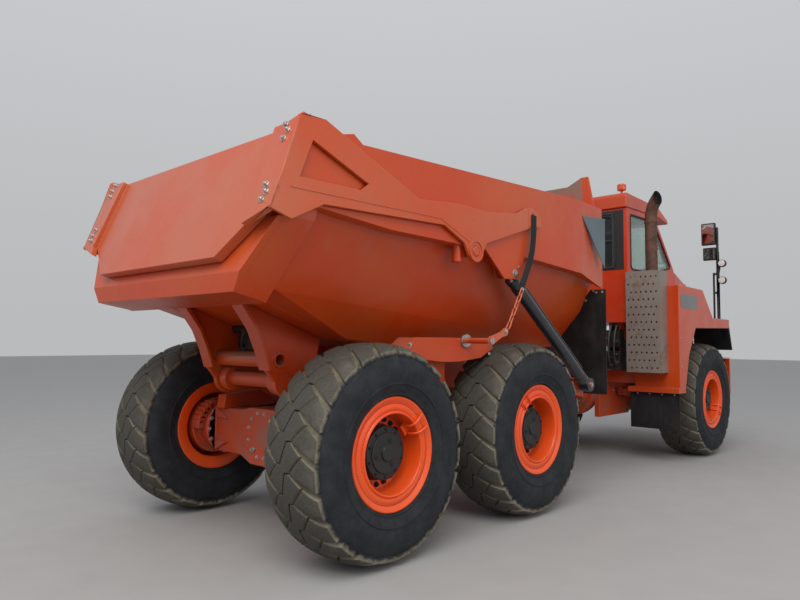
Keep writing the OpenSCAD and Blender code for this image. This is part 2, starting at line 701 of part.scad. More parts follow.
module mirrors() {
  color(DARK) on_front_half() both_sides() {
    translate([7020, 1300, guard_top + seat_gap]) cylinder(r = 22, h = 1000);
    translate([7020, 1240, guard_top + seat_gap]) cylinder(r = 14, h = 700);
    for (z = [2300, 2580]) translate([7020, 1240, z]) y_rod(14, 0, 60);
    translate([6990, 1080, 3020]) cube([60, 200, 330]);
    translate([6990, 1100, 2790]) cube([60, 180, 190]);
    translate([7020, 0, 2850]) y_rod(14, 1270, 1300);
    translate([7020, 0, 3100]) y_rod(14, 1270, 1300);
    translate([7020, 1300, 2880]) cylinder(r = 18, h = 400);
    for (z = [2480, 2730]) translate([6960, 1370, z]) x_rod(55, 0, 70);
    for (z = [2480, 2730]) translate([7000, 1300, z]) y_rod(12, 0, 60);
  }
}
module beacon() {
  color("orange") on_front_half() {
    translate([cab_x + 60, -cab_y + 90, cab_roof_z + roof_rise(60) + 1.1]) cylinder(r = 16, h = 58);
    translate([cab_x + 60, -cab_y + 90, cab_roof_z + 240]) cylinder(r = 60, h = 90);
  }
}
module handrails() {
  rail_h = 640;
  color(DARK) on_front_half() {
    for (x = [6060, 6460, 6860]) translate([x, guard_y - 40, guard_top + seat_gap]) cylinder(r = 18,
      h = rail_h);
    for (z = [rail_h / 2, rail_h - 18]) translate([0, guard_y - 40, guard_top + z]) x_rod(16, 6060, 6860);
  }
}

// Dump body: floor and sloping walls cut from one form, side rails, tail collar and headboard
tail_x = gate_x + gate_t / cos(gate_lean) + gate_gap;
knee_y = bed_y - rail_t;
function tail_at(z) = tail_x + (z - gate_z) * gate_slope;
// Inside and outside of the trough, d is the distance inward
module bed_section(d) {
  low_y = floor_y - d * 0.455;
  mid_y = wall_y - d * 0.857;
  mid_z = wall_z + d * 0.539;
  side_y = knee_y - d;
  knee = knee_z + d * 0.2;
  long_bar([[-low_y, floor_z + d], [low_y, floor_z + d], [mid_y, mid_z], [side_y, knee], [side_y, 3300],
    [-side_y, 3300], [-side_y, knee], [-mid_y, mid_z]], -1400, 5200);
}
module bed_side_view(d, grow) {
  front = bulkhead_x + plate_t - d;
  side_plate([[tail_at(1990) - grow, 1990 + d], [-720, 1880 + d], [115, 1575 + d], [785, floor_z + d],
    [front - 20, floor_z + d], [front, floor_z + 60], [front, 3010 + grow], [-280, 2890 + grow],
    [-700, 2830 + grow], [tail_at(2830 + grow) - grow, 2830 + grow]], -1500, 3000);
}
module plan_view(y) {
  flat_plate([[-1500, -y], [bed_front - 840, -y], [bed_front, -y + 140], [bed_front, y - 140],
    [bed_front - 840, y],
    [-1500, y]], 1000, 3000);
}
rail_outline = [[tail_at(2400), 2400], [tail_at(2830), 2830], [-640, 2860], [-520, 2925], [-370, 2962],
  [-285, rail_top_rear], [bed_front, rail_top_front], [bed_front, 2120], [bed_front - 296, 2164],
    [bed_front - 833, 2253], [1890, 2312],
  [0, 2350], [-640, 2410]];
module rail_shape() {
  difference() {
    side_plate(rail_outline, knee_y - 5, bed_y - knee_y + 5);
    // the front of each side carries a triangular panel
    side_plate([[bed_front - 800, 2850], [bed_front - 300, 2890], [bed_front - 316, 2330]], bed_y - 8, 20);
  }
}
module bed() {
  color(ORANGE) from_rear_axle() {
    difference() {
      intersection() {
        union() {
          intersection() {
            bed_section(0);
            bed_side_view(0, 0);
          }
          both_sides() rail_shape();
          // tail collar round the floor's end
          intersection() {
            long_bar([[-951, 1760], [951, 1760], [1310, 2330], [1310, 2420], [-1310, 2420], [-1310,
              2330]], -1400, 1400);
            side_plate([[tail_at(1890) + 50, 1890], [-800, 1803], [-640, 2420], [tail_at(2420) + 50,
              2420]], -1500, 3000);
          }
        }
        plan_view(bed_y);
      }
      intersection() {
        bed_section(plate_t);
        bed_side_view(plate_t + 5, 400);
        plan_view(bed_y - plate_t);
      }
    }
    // end plate with the opening that the gate closes
    intersection() {
      difference() {
        long_bar(mirrored([[wall_y, wall_z], [knee_y, knee_z], [knee_y, 2830]]), -1400, 1400);
        long_bar([[-850, 2086], [850, 2086], [1165, 2345], [1165, 2900], [-1165, 2900], [-1165, 2345]],
          -1500, 1600);
      }
      side_plate([[tail_at(1990), 1990], [tail_at(1990) + 60, 1990], [tail_at(2830) + 60, 2830],
        [tail_at(2830), 2830]], -1500, 3000);
    }
    both_sides() {
      // arm pivot and its ear under the rail
      translate([arm_pivot_x, 0, arm_pivot_z]) y_rod(44, bed_y - 60, arm_out + 8);
      side_plate([[arm_pivot_x - 100, 2345], [arm_pivot_x - 70, arm_pivot_z - 50], [arm_pivot_x + 70,
        arm_pivot_z - 50],
        [arm_pivot_x + 100, 2345]], bed_y - 60, 30);
      // hoist brackets under the rail
      side_plate([[hoist_top_x - 468, 2360], [hoist_top_x - 158, hoist_top_z - 77], [hoist_top_x + 40,
        hoist_top_z - 70],
        [hoist_top_x + 62, hoist_top_z - 10], [hoist_top_x + 180, 2350]], bed_y - 22, 22);
      side_plate([[hoist_top_x - 120, hoist_top_z + 105], [hoist_top_x + 120, hoist_top_z + 105],
        [hoist_top_x + 60, hoist_top_z - 60], [hoist_top_x - 60, hoist_top_z - 60]], hoist_y - 85, 18);
      side_plate([[hoist_top_x + 80, hoist_top_z + 60], [hoist_top_x + 98, hoist_top_z + 60],
        [hoist_top_x + 150, 2350],
        [hoist_top_x + 125, 2350]], hoist_y - 70, bed_y - hoist_y + 60);
      // post behind the arm's pivot
      translate([arm_pivot_x - 120, bed_y - 65, 2200]) cylinder(r = 40, h = 160);
      // headboard ears
      side_plate([[bulkhead_x, 2990], [bed_front, 3010], [bed_front - 60, 3090], [bulkhead_x + 40, 3385],
        [bulkhead_x, 3385]], 1060, 24);
    }
    // headboard over the front wall
    long_bar(mirrored([[1215, 2980], [1215, 3050], [1150, 3385], [1070, 3385], [900, 3305]]), bulkhead_x,
      26);
  }
}
bracket_y = 396;
bracket_t = 44;
// Hinge brackets under the ramp, joined by an open cross tube
module bed_brackets() {
  tube_x = hinge_x - 85;
  tube_z = hinge_z + 170;
  function ramp_z(x) = 1575 + (115 - x) * (1880 - 1575) / 835 - seat_gap;
  color(ORANGE) from_rear_axle() difference() {
    union() {
      both_sides() {
        side_plate([[-690, ramp_z(-690)], [-640, 1800], [-520, 1640], [-450, 1480], [-400, 1330],
          [hinge_x - 125, hinge_z],
          [hinge_x, hinge_z - 125], [hinge_x + 120, hinge_z - 20], [80, 1420], [115, ramp_z(115)]],
            bracket_y, bracket_t);
        translate([hinge_x, 0, hinge_z]) y_rod(125, bracket_y, bracket_y + bracket_t);
        // rear flange along the curved edge
        side_plate([[-690, ramp_z(-690)], [-640, 1800], [-520, 1640], [-450, 1480], [-400, 1330], [-375,
          1335],
          [-425, 1490], [-495, 1655], [-610, 1815], [-640, ramp_z(-640)]], bracket_y - 60, 135);
      }
      translate([tube_x, 0, tube_z]) y_rod(62, -bracket_y - bracket_t - 12, bracket_y + bracket_t + 12);
    }
    translate([hinge_x, 0, hinge_z]) y_rod(hinge_pin_r + seat_gap, -700, 700);
    translate([tube_x, 0, tube_z]) y_rod(42, -700, 700);
  }
}
module bed_flaps() {
  color(RUBBER) from_rear_axle() both_sides()
    long_bar([[690, 1560], [880, 1000], [1330, 1000], [1330, 2130], [1150, 2130]],
      bulkhead_x + plate_t + seat_gap, 14);
}

// Tailgate: gate panel, side flanges and pivoted side arms
module gate_plane() translate([gate_x, 0, gate_z]) rotate([0, gate_lean, 0]) children();
arm_y = bed_y + arm_gap;
arm_out = arm_y + arm_t;
lug_x = arm_pivot_x + 861;
lug_z = arm_pivot_z + 387;
module tailgate() {
  outline = [[-1072, 2351], [-910, 2300], [-653, 2429], [550, 2454], [800, 2343], [860, arm_pivot_z - 50],
    [1020, arm_pivot_z - 50], [1096, 2371], [1762, 2583], [1945, 2612], [1930, 2700], [1800, 2772], [1700,
      2755],
    [1543, 2687], [1111, 2637], [749, 2649], [260, 2610], [-643, 2981], [-856, 2973], [-989, 2520]];
  color(ORANGE) from_rear_axle() {
    gate_plane() long_bar(mirrored([[870, 0], [1200, 290], [1200, 900], [1112, 900]]), 0, gate_t);
    gate_plane() both_sides() long_bar([[1131, 187], [arm_out, 281], [arm_out, 950], [1227, 902], [1112,
      900],
      [1180, 272]], -40, 46);
    both_sides() difference() {
      union() {
        side_plate(outline, arm_y, arm_t);
        translate([arm_pivot_x, 0, arm_pivot_z]) y_rod(92, arm_y, arm_out + 6);
      }
      side_plate([[-751, 2825], [-850, 2575], [-330, 2575], [-263, 2630]], arm_y - 5, arm_t + 10);
      translate([arm_pivot_x, 0, arm_pivot_z]) y_rod(44 + seat_gap, arm_y - 5, arm_out + 10);
      // slot for the strap
      side_plate(box2(lug_x - 12, lug_x + 12, lug_z - 36, lug_z + 38), arm_y - 5, arm_t + 10);
    }
  }
}
// Gate chain: a toggle plate on the frame's pin, flat links, and a rubber strap up to the arm's lug
link_arc = 2 * link_wire + 1.5;
link_side = 53.4;
link_pitch = link_side + 2 * (link_arc - link_wire) - 0.4;
chain_y = arm_out + 6 + link_arc + link_wire;
strap_w = 70;
strap_t = 12;
toggle_len = 246;
toggle_a = 20.4;
chain_low = [chain_x + toggle_len * cos(toggle_a), chain_z + toggle_len * sin(toggle_a)];
chain_high = [1580, 2022];
chain_a = atan2(chain_high[1] - chain_low[1], chain_high[0] - chain_low[0]);
module chain_link() translate([0, 0, -link_wire]) linear_extrude(2 * link_wire) difference() {
  union() {
    square([link_side, 2 * (link_arc + link_wire)], center = true);
    for (e = [-1, 1]) translate([link_side / 2 * e, 0]) circle(r = link_arc + link_wire);
  }
  square([link_side + 2 * (link_arc - link_wire), 2 * (link_arc - link_wire)], center = true);
}
module gate_chains() {
  color("#9a5b3c") from_rear_axle() both_sides() {
    // toggle plate with its upper fork pin
    translate([chain_x, chain_y + chain_t / 2, chain_z]) rotate([90, 0,
      0]) linear_extrude(chain_t) difference() {
      rotate([0, 0, toggle_a]) union() {
        translate([0, -40]) square([toggle_len - 20, 80]);
        circle(r = 40);
        translate([toggle_len - 22, 0]) circle(r = 34);
      }
      circle(r = 24 + seat_gap);
    }
    translate([chain_low[0], chain_y, chain_low[1]]) rotate([0, -chain_a, 0]) {
      for (i = [0:link_count - 1]) translate([22 + link_pitch * (i + 0.5), 0, 0])
        rotate([i % 2 == 0 ? 0 : 90, 0, 0]) chain_link();
      // pin that holds the strap
      translate([strap_at, 0, 0]) y_rod(9, arm_out + 6 - chain_y, link_wire + 5);
    }
  }
}
// The strap's middle line from the last link to the lug
strap_at = 22 + link_pitch * (link_count - 0.5) + link_side / 2;
strap_pin = [chain_low[0] + strap_at * cos(chain_a), chain_low[1] + strap_at * sin(chain_a)];
strap_line = [[strap_pin[0] - 17, strap_pin[1] - 26], [1596, 2046], [1640, 2120], [1690, 2205], [1735,
  2290], [1765, 2370], [1785, 2460], [1797, 2560], [1801, 2705]];
module gate_straps() {
  n = len(strap_line);
  way = [for (i = [0:n - 1]) let (a = strap_line[max(i - 1, 0)], b = strap_line[min(i + 1, n - 1)])
    [b[0] - a[0], b[1] - a[1]] / norm([b[0] - a[0], b[1] - a[1]])];
  front = [for (i = [0:n - 1]) [strap_line[i][0] + way[i][1] * strap_w / 2,
    strap_line[i][1] - way[i][0] * strap_w / 2]];
  back = [for (i = [n - 1:-1:0]) [strap_line[i][0] - way[i][1] * strap_w / 2,
    strap_line[i][1] + way[i][0] * strap_w / 2]];
  color(RUBBER) from_rear_axle() both_sides() difference() {
    side_plate(concat(front, back), arm_out + 6, strap_t);
    translate([strap_pin[0], 0, strap_pin[1]]) y_rod(9 + seat_gap, arm_out, arm_out + 30);
  }
}

// Cylinders, opened at the rod's eye
hoist_len = norm([hoist_top_x - hoist_low_x, hoist_top_z - hoist_low_z]);
hoist_angle = atan2(hoist_top_x - hoist_low_x, hoist_top_z - hoist_low_z);
module hoist_place() from_rear_axle() both_sides() translate([hoist_low_x, hoist_y, hoist_low_z])
  rotate([0, hoist_angle, 0]) children();
hoist_pin_r = 30;
stage_t = 11;
module hoist_barrels() {
  color(DARK) hoist_place() difference() {
    union() {
      translate([0, 0, 90]) cylinder(r = hoist_r, h = hoist_len - 190);
      y_rod(70, -hoist_r + 10, hoist_r);
      translate([-45, -hoist_r + 10, 0]) cube([90, 2 * hoist_r - 20, 100]);
    }
    translate([0, 0, 130]) cylinder(r = hoist_r - stage_t, h = hoist_len);
    y_rod(hoist_pin_r + seat_gap, -hoist_r - 10, hoist_r + 10);
  }
}
module hoist_stages() {
  color(STEEL) hoist_place() difference() {
    translate([0, 0, 140]) cylinder(r = hoist_r - stage_t - seat_gap, h = hoist_len - 230);
    translate([0, 0, 160]) cylinder(r = hoist_r - 2 * stage_t, h = hoist_len);
  }
}
module hoist_rods() {
  color(STEEL) hoist_place() {
    translate([0, 0, 170]) cylinder(r = hoist_r - 2 * stage_t - seat_gap, h = hoist_len - 200);
    translate([0, 0, hoist_len]) y_rod(62, -42, 42);
    translate([0, 0, hoist_len]) y_rod(hoist_pin_r, -56, 56);
  }
}
// The barrel passes between the hitch's lug plates
steer_r = 46;
steer_rod_r = 28.5;
steer_len = norm([steer_eye_x - steer_base_x, steer_eye_y - steer_base_y]);
steer_angle = atan2(steer_eye_y - steer_base_y, steer_eye_x - steer_base_x);
module steer_place(s) from_rear_axle() on_side(s) translate([steer_base_x, steer_base_y,
  steer_z]) rotate([0, 0, steer_angle]) children();
module steer_barrel(s) {
  color(DARK) steer_place(s) difference() {
    union() {
      x_rod(steer_r, 85, steer_len * 0.62);
      x_rod(34, 30, 90);
      translate([0, 0, -35]) cylinder(r = 62, h = 70);
    }
    x_rod(steer_rod_r + 0.5, 100, steer_len);
    translate([0, 0, -40]) cylinder(r = 25, h = 80);
  }
}
module steer_rod(s) {
  color(STEEL) steer_place(s) {
    x_rod(steer_rod_r, steer_len * 0.3415, steer_len - 40);
    translate([steer_len, 0, -38]) cylinder(r = 60, h = 76);
  }
}

front_chassis();
bumper();
headlamps();
front_axle();
engine_block();
hood();
grille();
cab_shell();
cab_roof();
cab_glass();
window_guard();
cab_door();
door_glass();
seat();
dashboard();
guard_right();
guard_left();
front_flaps();
exhaust();
heat_shield();
mirrors();
beacon();
handrails();
hitch();
rear_chassis();
walking_beams();
mid_axle();
rear_axle();
driveshaft();
hoist_barrels();
hoist_stages();
hoist_rods();
steer_barrel(1);  // steer_barrel_left
steer_barrel(-1);  // steer_barrel_right
steer_rod(1);  // steer_rod_left
steer_rod(-1);  // steer_rod_right
tyre(wheelbase, 1);  // tyre_front_left
tyre(wheelbase, -1);  // tyre_front_right
tyre(mid_x, 1);  // tyre_mid_left
tyre(mid_x, -1);  // tyre_mid_right
tyre(0, 1);  // tyre_rear_left
tyre(0, -1);  // tyre_rear_right
rim(wheelbase, 1);  // rim_front_left
rim(wheelbase, -1);  // rim_front_right
rim(mid_x, 1);  // rim_mid_left
rim(mid_x, -1);  // rim_mid_right
rim(0, 1);  // rim_rear_left
rim(0, -1);  // rim_rear_right
bed();
bed_brackets();
bed_flaps();
tailgate();
gate_chains();
gate_straps();
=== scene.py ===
# Articulated dump truck, dressed on its CAD frame. Metres, Z up, +X forward, +Y to the truck's left.
import math

import bmesh
import bpy
from mathutils import Matrix, Vector


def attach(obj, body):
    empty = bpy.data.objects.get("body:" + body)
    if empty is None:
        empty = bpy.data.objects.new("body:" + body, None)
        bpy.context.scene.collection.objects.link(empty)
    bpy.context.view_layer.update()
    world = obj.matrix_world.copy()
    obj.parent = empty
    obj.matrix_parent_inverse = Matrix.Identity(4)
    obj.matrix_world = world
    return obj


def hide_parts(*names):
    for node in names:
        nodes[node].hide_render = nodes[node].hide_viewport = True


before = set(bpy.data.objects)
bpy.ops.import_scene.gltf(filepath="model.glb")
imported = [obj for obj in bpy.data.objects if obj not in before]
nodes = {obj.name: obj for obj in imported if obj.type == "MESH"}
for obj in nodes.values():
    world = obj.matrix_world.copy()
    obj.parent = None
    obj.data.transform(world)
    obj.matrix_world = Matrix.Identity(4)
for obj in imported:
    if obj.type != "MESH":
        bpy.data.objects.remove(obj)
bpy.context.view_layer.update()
scene = bpy.context.scene
collection = scene.collection

# Camera, floor and light. The camera stands behind the truck on its right at eye height. The floor is plain
# and pale. The light is an overcast sky, a wide soft lamp and a weaker fill from the truck's right.
eye = Vector((-7.0384, -4.62555, 1.56405))
yaw, pitch, roll = (math.radians(a) for a in (43.453, 3.499, 0.329))
ahead = Vector((math.cos(pitch) * math.cos(yaw), math.cos(pitch) * math.sin(yaw), math.sin(pitch)))
level_right = Vector((math.sin(yaw), -math.cos(yaw), 0))
level_up = level_right.cross(ahead)
cam_right = level_right * math.cos(roll) + level_up * math.sin(roll)
cam_up = -level_right * math.sin(roll) + level_up * math.cos(roll)
camera = bpy.data.objects.new("camera", bpy.data.cameras.new("camera"))
camera.matrix_world = Matrix.Translation(eye) @ Matrix((cam_right, cam_up, -ahead)).transposed().to_4x4()
camera.data.lens = 29.857
collection.objects.link(camera)
scene.camera = camera
scene.view_settings.view_transform = "Standard"


def add(tree, kind, values=None, **settings):
    """One shader node; a value is a number, a colour or another node's output."""
    made = tree.nodes.new("ShaderNode" + kind)
    for name, value in settings.items():
        setattr(made, name, value)
    for name, value in (values or {}).items():
        socket = made.inputs[name]
        if isinstance(value, bpy.types.NodeSocket):
            tree.links.new(value, socket)
        elif isinstance(value, tuple) and len(value) == 3 and socket.type == "RGBA":
            socket.default_value = (*value, 1)
        else:
            socket.default_value = value
    return made


def blank(name, **values):
    """A new material, its shader and the place on the object that its textures go by."""
    material = bpy.data.materials.new(name)
    material.use_nodes = True
    shader = material.node_tree.nodes["Principled BSDF"]
    for socket, value in values.items():
        socket = shader.inputs[socket.replace("_", " ")]
        socket.default_value = (*value, 1) if isinstance(value, tuple) else value
    return material, shader, add(material.node_tree, "TexCoord").outputs["Object"]


def feed(shader, **sockets):
    """Links each value to the shader's socket of that name."""
    for name, value in sockets.items():
        shader.id_data.links.new(value, shader.inputs[name.replace("_", " ")])


def noise(place, scale, detail=4.0, rough=0.55):
    values = {"Vector": place, "Scale": scale, "Detail": detail, "Roughness": rough}
    return add(place.id_data, "TexNoise", values).outputs["Fac"]


def rise(value, low, high, top=1.0, bottom=0.0):
    """Goes from bottom to top while value goes from low to high."""
    values = {"Value": value, "From Min": low, "From Max": high, "To Min": bottom, "To Max": top}
    return add(value.id_data, "MapRange", values, interpolation_type="SMOOTHSTEP").outputs["Result"]


def calc(operation, *terms):
    return add(terms[0].id_data, "Math", dict(enumerate(terms)), operation=operation).outputs[0]


def times(a, b):
    return calc("MULTIPLY", a, b)


def tint(share, a, b):
    return add(share.id_data, "Mix", {0: share, 6: a, 7: b}, data_type="RGBA").outputs[2]


def split(vector):
    return add(vector.id_data, "SeparateXYZ", {0: vector}).outputs


floor_mesh = bpy.data.meshes.new("floor")
floor_mesh.from_pydata([(-60, -60, 0), (60, -60, 0), (60, 60, 0), (-60, 60, 0)], [], [(0, 1, 2, 3)])
floor = bpy.data.objects.new("floor", floor_mesh)
collection.objects.link(floor)
concrete, shader, place = blank("floor_concrete", Roughness=0.9)
feed(shader, Base_Color=tint(noise(place, 3.0), (0.35, 0.35, 0.35), (0.41, 0.405, 0.4)))
floor_mesh.materials.append(concrete)

world = bpy.data.worlds.new("overcast")
scene.world = world
world.use_nodes = True
background = world.node_tree.nodes["Background"]
height = split(add(world.node_tree, "TexCoord").outputs["Generated"])["Z"]
feed(background, Color=tint(rise(height, -0.02, 0.75), (0.78, 0.79, 0.8), (0.98, 1.0, 1.05)))
background.inputs["Strength"].default_value = 0.63


def soft_lamp(name, size, watts, colour, place, aim):
    """A rectangular lamp that looks at a point of the truck."""
    lamp = bpy.data.objects.new(name, bpy.data.lights.new(name, "AREA"))
    lamp.data.shape = "RECTANGLE"
    lamp.data.size, lamp.data.size_y = size
    lamp.data.energy = watts
    lamp.data.color = colour
    lamp.location = place
    lamp.rotation_euler = (Vector(aim) - lamp.location).to_track_quat("-Z", "Y").to_euler()
    collection.objects.link(lamp)


soft_lamp("soft_lamp", (12, 9), 1500, (1.0, 0.96, 0.9), (-11, -6, 12), (0, 0, 1))
soft_lamp("side_fill", (12, 4), 250, (1.0, 0.95, 0.88), (-2, -13, 4.5), (0, 0, 1.4))

# Rear frame. Two welded box rails with cross tubes, outriggers for hoists and gate chains, and a
# forged neck. Flame-cut steel plate, sprayed orange all over after assembly.
REAR_AXLE = -3.6755  # where the rearmost axle is along the part
LEFT, BACK = (0, 1, 0), (-1, 0, 0)
DUST, MUD, WORN_STEEL = (0.34, 0.27, 0.22), (0.17, 0.12, 0.09), (0.2, 0.15, 0.12)
STREAK, CHIP = (0.3, 0.17, 0.12), (0.11, 0.06, 0.045)


def from_axle(x, y, z):
    """A place measured from the rearmost axle, in the part's frame."""
    return Vector((x + REAR_AXLE, y, z))


def located(place):
    """A Vector as it is, a tuple as a place measured from the rearmost axle."""
    return place if isinstance(place, Vector) else from_axle(*place)


def bump(height, strength, distance, under=None):
    """A relief for a shader's normal, on top of the one under it."""
    values = {"Height": height, "Strength": strength, "Distance": distance}
    if under is not None:
        values["Normal"] = under
    return add(height.id_data, "Bump", values).outputs[0]


def stretched(place, scale):
    return add(place.id_data, "Mapping", {"Vector": place, "Scale": scale}).outputs[0]


def paint(name, fresh, faded_and_sheen, rough=0.36, dust=0.3, mud=0.5, mud_top=1.25, chips=0.0, scour=0.0, coat=0.25):
    """Sprayed paint: fading, settled dust, mud low down, chips, and scoured steel where a load slides; on the
    gate the faded tone is partly painted sky reflection.
    """
    material, shader, place = blank(name, Coat_Weight=coat, Coat_Roughness=0.2)
    part = split(place)
    facing = split(place.node.outputs["Normal"])["Z"]
    colour = tint(rise(noise(place, 0.9, 5), 0.38, 0.66), fresh, faded_and_sheen)
    speckle = noise(place, 26, 6, 0.7)
    colour = tint(rise(speckle, 0.55, 0.8, 0.18), colour, tuple(c * 0.45 for c in fresh))
    run = noise(stretched(place, (9.0, 9.0, 0.8)), 1.0, 4)
    colour = tint(rise(run, 0.56, 0.78, 0.16), colour, STREAK)
    cloud = noise(place, 4.5, 6, 0.62)
    settled = times(rise(facing, 0.25, 0.95), rise(cloud, 0.3, 0.7, dust, dust * 0.35))
    colour = tint(settled, colour, DUST)
    splash = times(rise(part["Z"], mud_top, mud_top - 0.8), rise(cloud, 0.42, 0.72, mud))
    colour = tint(splash, colour, MUD)
    if scour:
        # loads wear the inside of the body and the top of its headboard down to brown steel
        inside = times(rise(facing, 0.12, 0.4), rise(part["Z"], 2.84, 2.8, scour))
        inside = times(inside, rise(part["X"], REAR_AXLE - 0.8, REAR_AXLE - 0.74))
        board = rise(part["X"], REAR_AXLE + 3.25, REAR_AXLE + 3.3)
        board = times(board, rise(part["Z"], 2.96, 3.03, 0.9))
        board = times(board, rise(calc("ABSOLUTE", part["Y"]), 1.1, 1.06))
        bare = times(calc("MAXIMUM", inside, board), rise(noise(place, 2.2, 7, 0.7), 0.28, 0.55))
        colour = tint(bare, colour, WORN_STEEL)
    if chips:
        colour = tint(rise(noise(place, 34, 3, 0.4), 0.7, 0.72, chips), colour, CHIP)
    dents = bump(noise(place, 2.3, 2), 0.12, 0.02)
    peel = bump(noise(place, 160, 2), 0.05, 0.002, dents)
    feed(shader, Base_Color=colour, Roughness=rise(cloud, 0.2, 0.8, rough + 0.16, rough), Normal=peel)
    return material


SHARP = 21  # degrees between two faces that make an edge


def soften(thing, bevel, segments=2, from_cad=False):
    """Broken edges as on cut and ground plate, with smooth shading on the curved parts."""
    mesh = thing.data
    if "custom_normal" in mesh.attributes:
        mesh.attributes.remove(mesh.attributes["custom_normal"])
    mesh.polygons.foreach_set("use_smooth", [True] * len(mesh.polygons))
    if from_cad:
        weld = thing.modifiers.new("weld", "WELD")
        weld.merge_threshold = 0.00003
        flat = thing.modifiers.new("flat", "DECIMATE")
        flat.decimate_type = "DISSOLVE"
        flat.angle_limit = math.radians(0.5)
    else:
        mesh.set_sharp_from_angle(angle=math.radians(SHARP))
    if bevel:
        edge = thing.modifiers.new("edge", "BEVEL")
        edge.width = bevel
        edge.segments = segments
        edge.limit_method = "ANGLE"
        edge.angle_limit = math.radians(SHARP)
        edge.use_clamp_overlap = not from_cad
        edge.harden_normals = True


def dress(names, material, bevel=0.003, segments=2):
    """Gives CAD nodes their finish and broken edges."""
    for name in names.split():
        thing = nodes[name]
        thing.data.materials.clear()
        thing.data.materials.append(material)
        soften(thing, bevel, segments, from_cad=True)


def circle(count, radius, start=0.0):
    """Places round a circle, each as its cosine and its sine part."""
    turns = [start + math.tau * k / count for k in range(count)]
    return [(radius * math.cos(t), radius * math.sin(t)) for t in turns]


def rod(bm, a, b, r, sides=24, r_end=None):
    """A round bar from a to b."""
    a, b = located(a), located(b)
    turn = (b - a).to_track_quat("Z", "Y").to_matrix().to_4x4()
    r_end = r if r_end is None else r_end
    bmesh.ops.create_cone(bm, cap_ends=True, segments=sides, radius1=r, radius2=r_end, depth=(b - a).length,
                          matrix=Matrix.Translation((a + b) / 2) @ turn)


def slab(bm, outline, low, high, plane="xz"):
    """A plate with that outline, from low to high across its plane."""
    def at(p, w):
        return {"xz": (p[0], w, p[1]), "yz": (w, p[0], p[1]), "xy": (p[0], p[1], w)}[plane]
    lower = [bm.verts.new(at(p, low)) for p in outline]
    upper = [bm.verts.new(at(p, high)) for p in outline]
    bm.faces.new(lower)
    bm.faces.new(upper[::-1])
    for i in range(len(outline)):
        j = (i + 1) % len(outline)
        bm.faces.new((lower[j], lower[i], upper[i], upper[j]))


def block(bm, low, high):
    low, high = located(low), located(high)
    slab(bm, [(low[0], low[2]), (high[0], low[2]), (high[0], high[2]), (low[0], high[2])], low[1], high[1])


def bolt(bm, seat, out, r=0.016, h=0.012):
    """A washer and a hexagon head with its stud, seated on a face that looks out."""
    seat, out = located(seat), Vector(out).normalized()
    rod(bm, seat - out * 0.002, seat + out * h * 0.25, r * 1.45, 20)
    rod(bm, seat, seat + out * h, r, 6, r * 0.94)
    rod(bm, seat + out * h * 0.9, seat + out * h * 1.35, r * 0.5, 12, r * 0.42)


def join_rings(bm, rings, closed=False):
    """Faces between rings of as many points each, back to the first ring where closed."""
    for a, b in zip(rings, rings[1:] + rings[:1] if closed else rings[1:]):
        for k in range(len(a)):
            j = (k + 1) % len(a)
            bm.faces.new((a[k], a[j], b[j], b[k]))


def hose(bm, path, r, sides=10):
    """A round tube swept along a path; gives its end face."""
    path = [located(p) for p in path]
    rings = []
    side = None
    for i, p in enumerate(path):
        way = (path[min(i + 1, len(path) - 1)] - path[max(i - 1, 0)]).normalized()
        side = way.orthogonal().normalized() if side is None else (side - way * side.dot(way)).normalized()
        across = way.cross(side)
        rings.append([bm.verts.new(p + side * c + across * s) for c, s in circle(sides, r)])
    join_rings(bm, rings)
    bm.faces.new(rings[0][::-1])
    return bm.faces.new(rings[-1])


def curve_through(points, steps=8):
    """More points on a smooth curve through the given ones."""
    pts = [located(p) for p in points]
    pts = [pts[0] * 2 - pts[1]] + pts + [pts[-1] * 2 - pts[-2]]
    way = []
    for p0, p1, p2, p3 in zip(pts, pts[1:], pts[2:], pts[3:]):
        for t in (k / steps for k in range(steps)):
            way.append(0.5 * (2 * p1 + (p2 - p0) * t + (2 * p0 - 5 * p1 + 4 * p2 - p3) * t * t
                              + (3 * p1 - p0 - 3 * p2 + p3) * t ** 3))
    return way + [pts[-2]]


def mirrored(bm):
    """Adds the same shapes on the truck's other side."""
    copy = bmesh.ops.duplicate(bm, geom=bm.verts[:] + bm.edges[:] + bm.faces[:])["geom"]
    bmesh.ops.scale(bm, vec=(1, -1, 1), verts=[g for g in copy if isinstance(g, bmesh.types.BMVert)])
    bmesh.ops.reverse_faces(bm, faces=[g for g in copy if isinstance(g, bmesh.types.BMFace)])


def piece(name, bm, material, body, bevel=0.0015, segments=2, at=None):
    """Makes the object from the mesh, softens it, and lets it ride on its body."""
    bmesh.ops.recalc_face_normals(bm, faces=bm.faces[:])
    mesh = bpy.data.meshes.new(name)
    bm.to_mesh(mesh)
    bm.free()
    mesh.materials.append(material)
    thing = bpy.data.objects.new(name, mesh)
    if at is not None:
        thing.location = at
    collection.objects.link(thing)
    soften(thing, bevel, segments)
    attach(thing, body)
    return thing


bolt_steel, shader, place = blank("bolt_steel", Metallic=1.0, Roughness=0.32)
feed(shader, Base_Color=tint(rise(noise(place, 55), 0.45, 0.7), (0.62, 0.62, 0.6), (0.33, 0.29, 0.25)))


def bolts(name, body, seats, bevel=0.0005, both=True):
    """A piece of bolts, each given as for bolt(), with the same ones on the other side."""
    bm = bmesh.new()
    for seat in seats:
        bolt(bm, *seat)
    if both:
        mirrored(bm)
    piece(name, bm, bolt_steel, body, bevel)


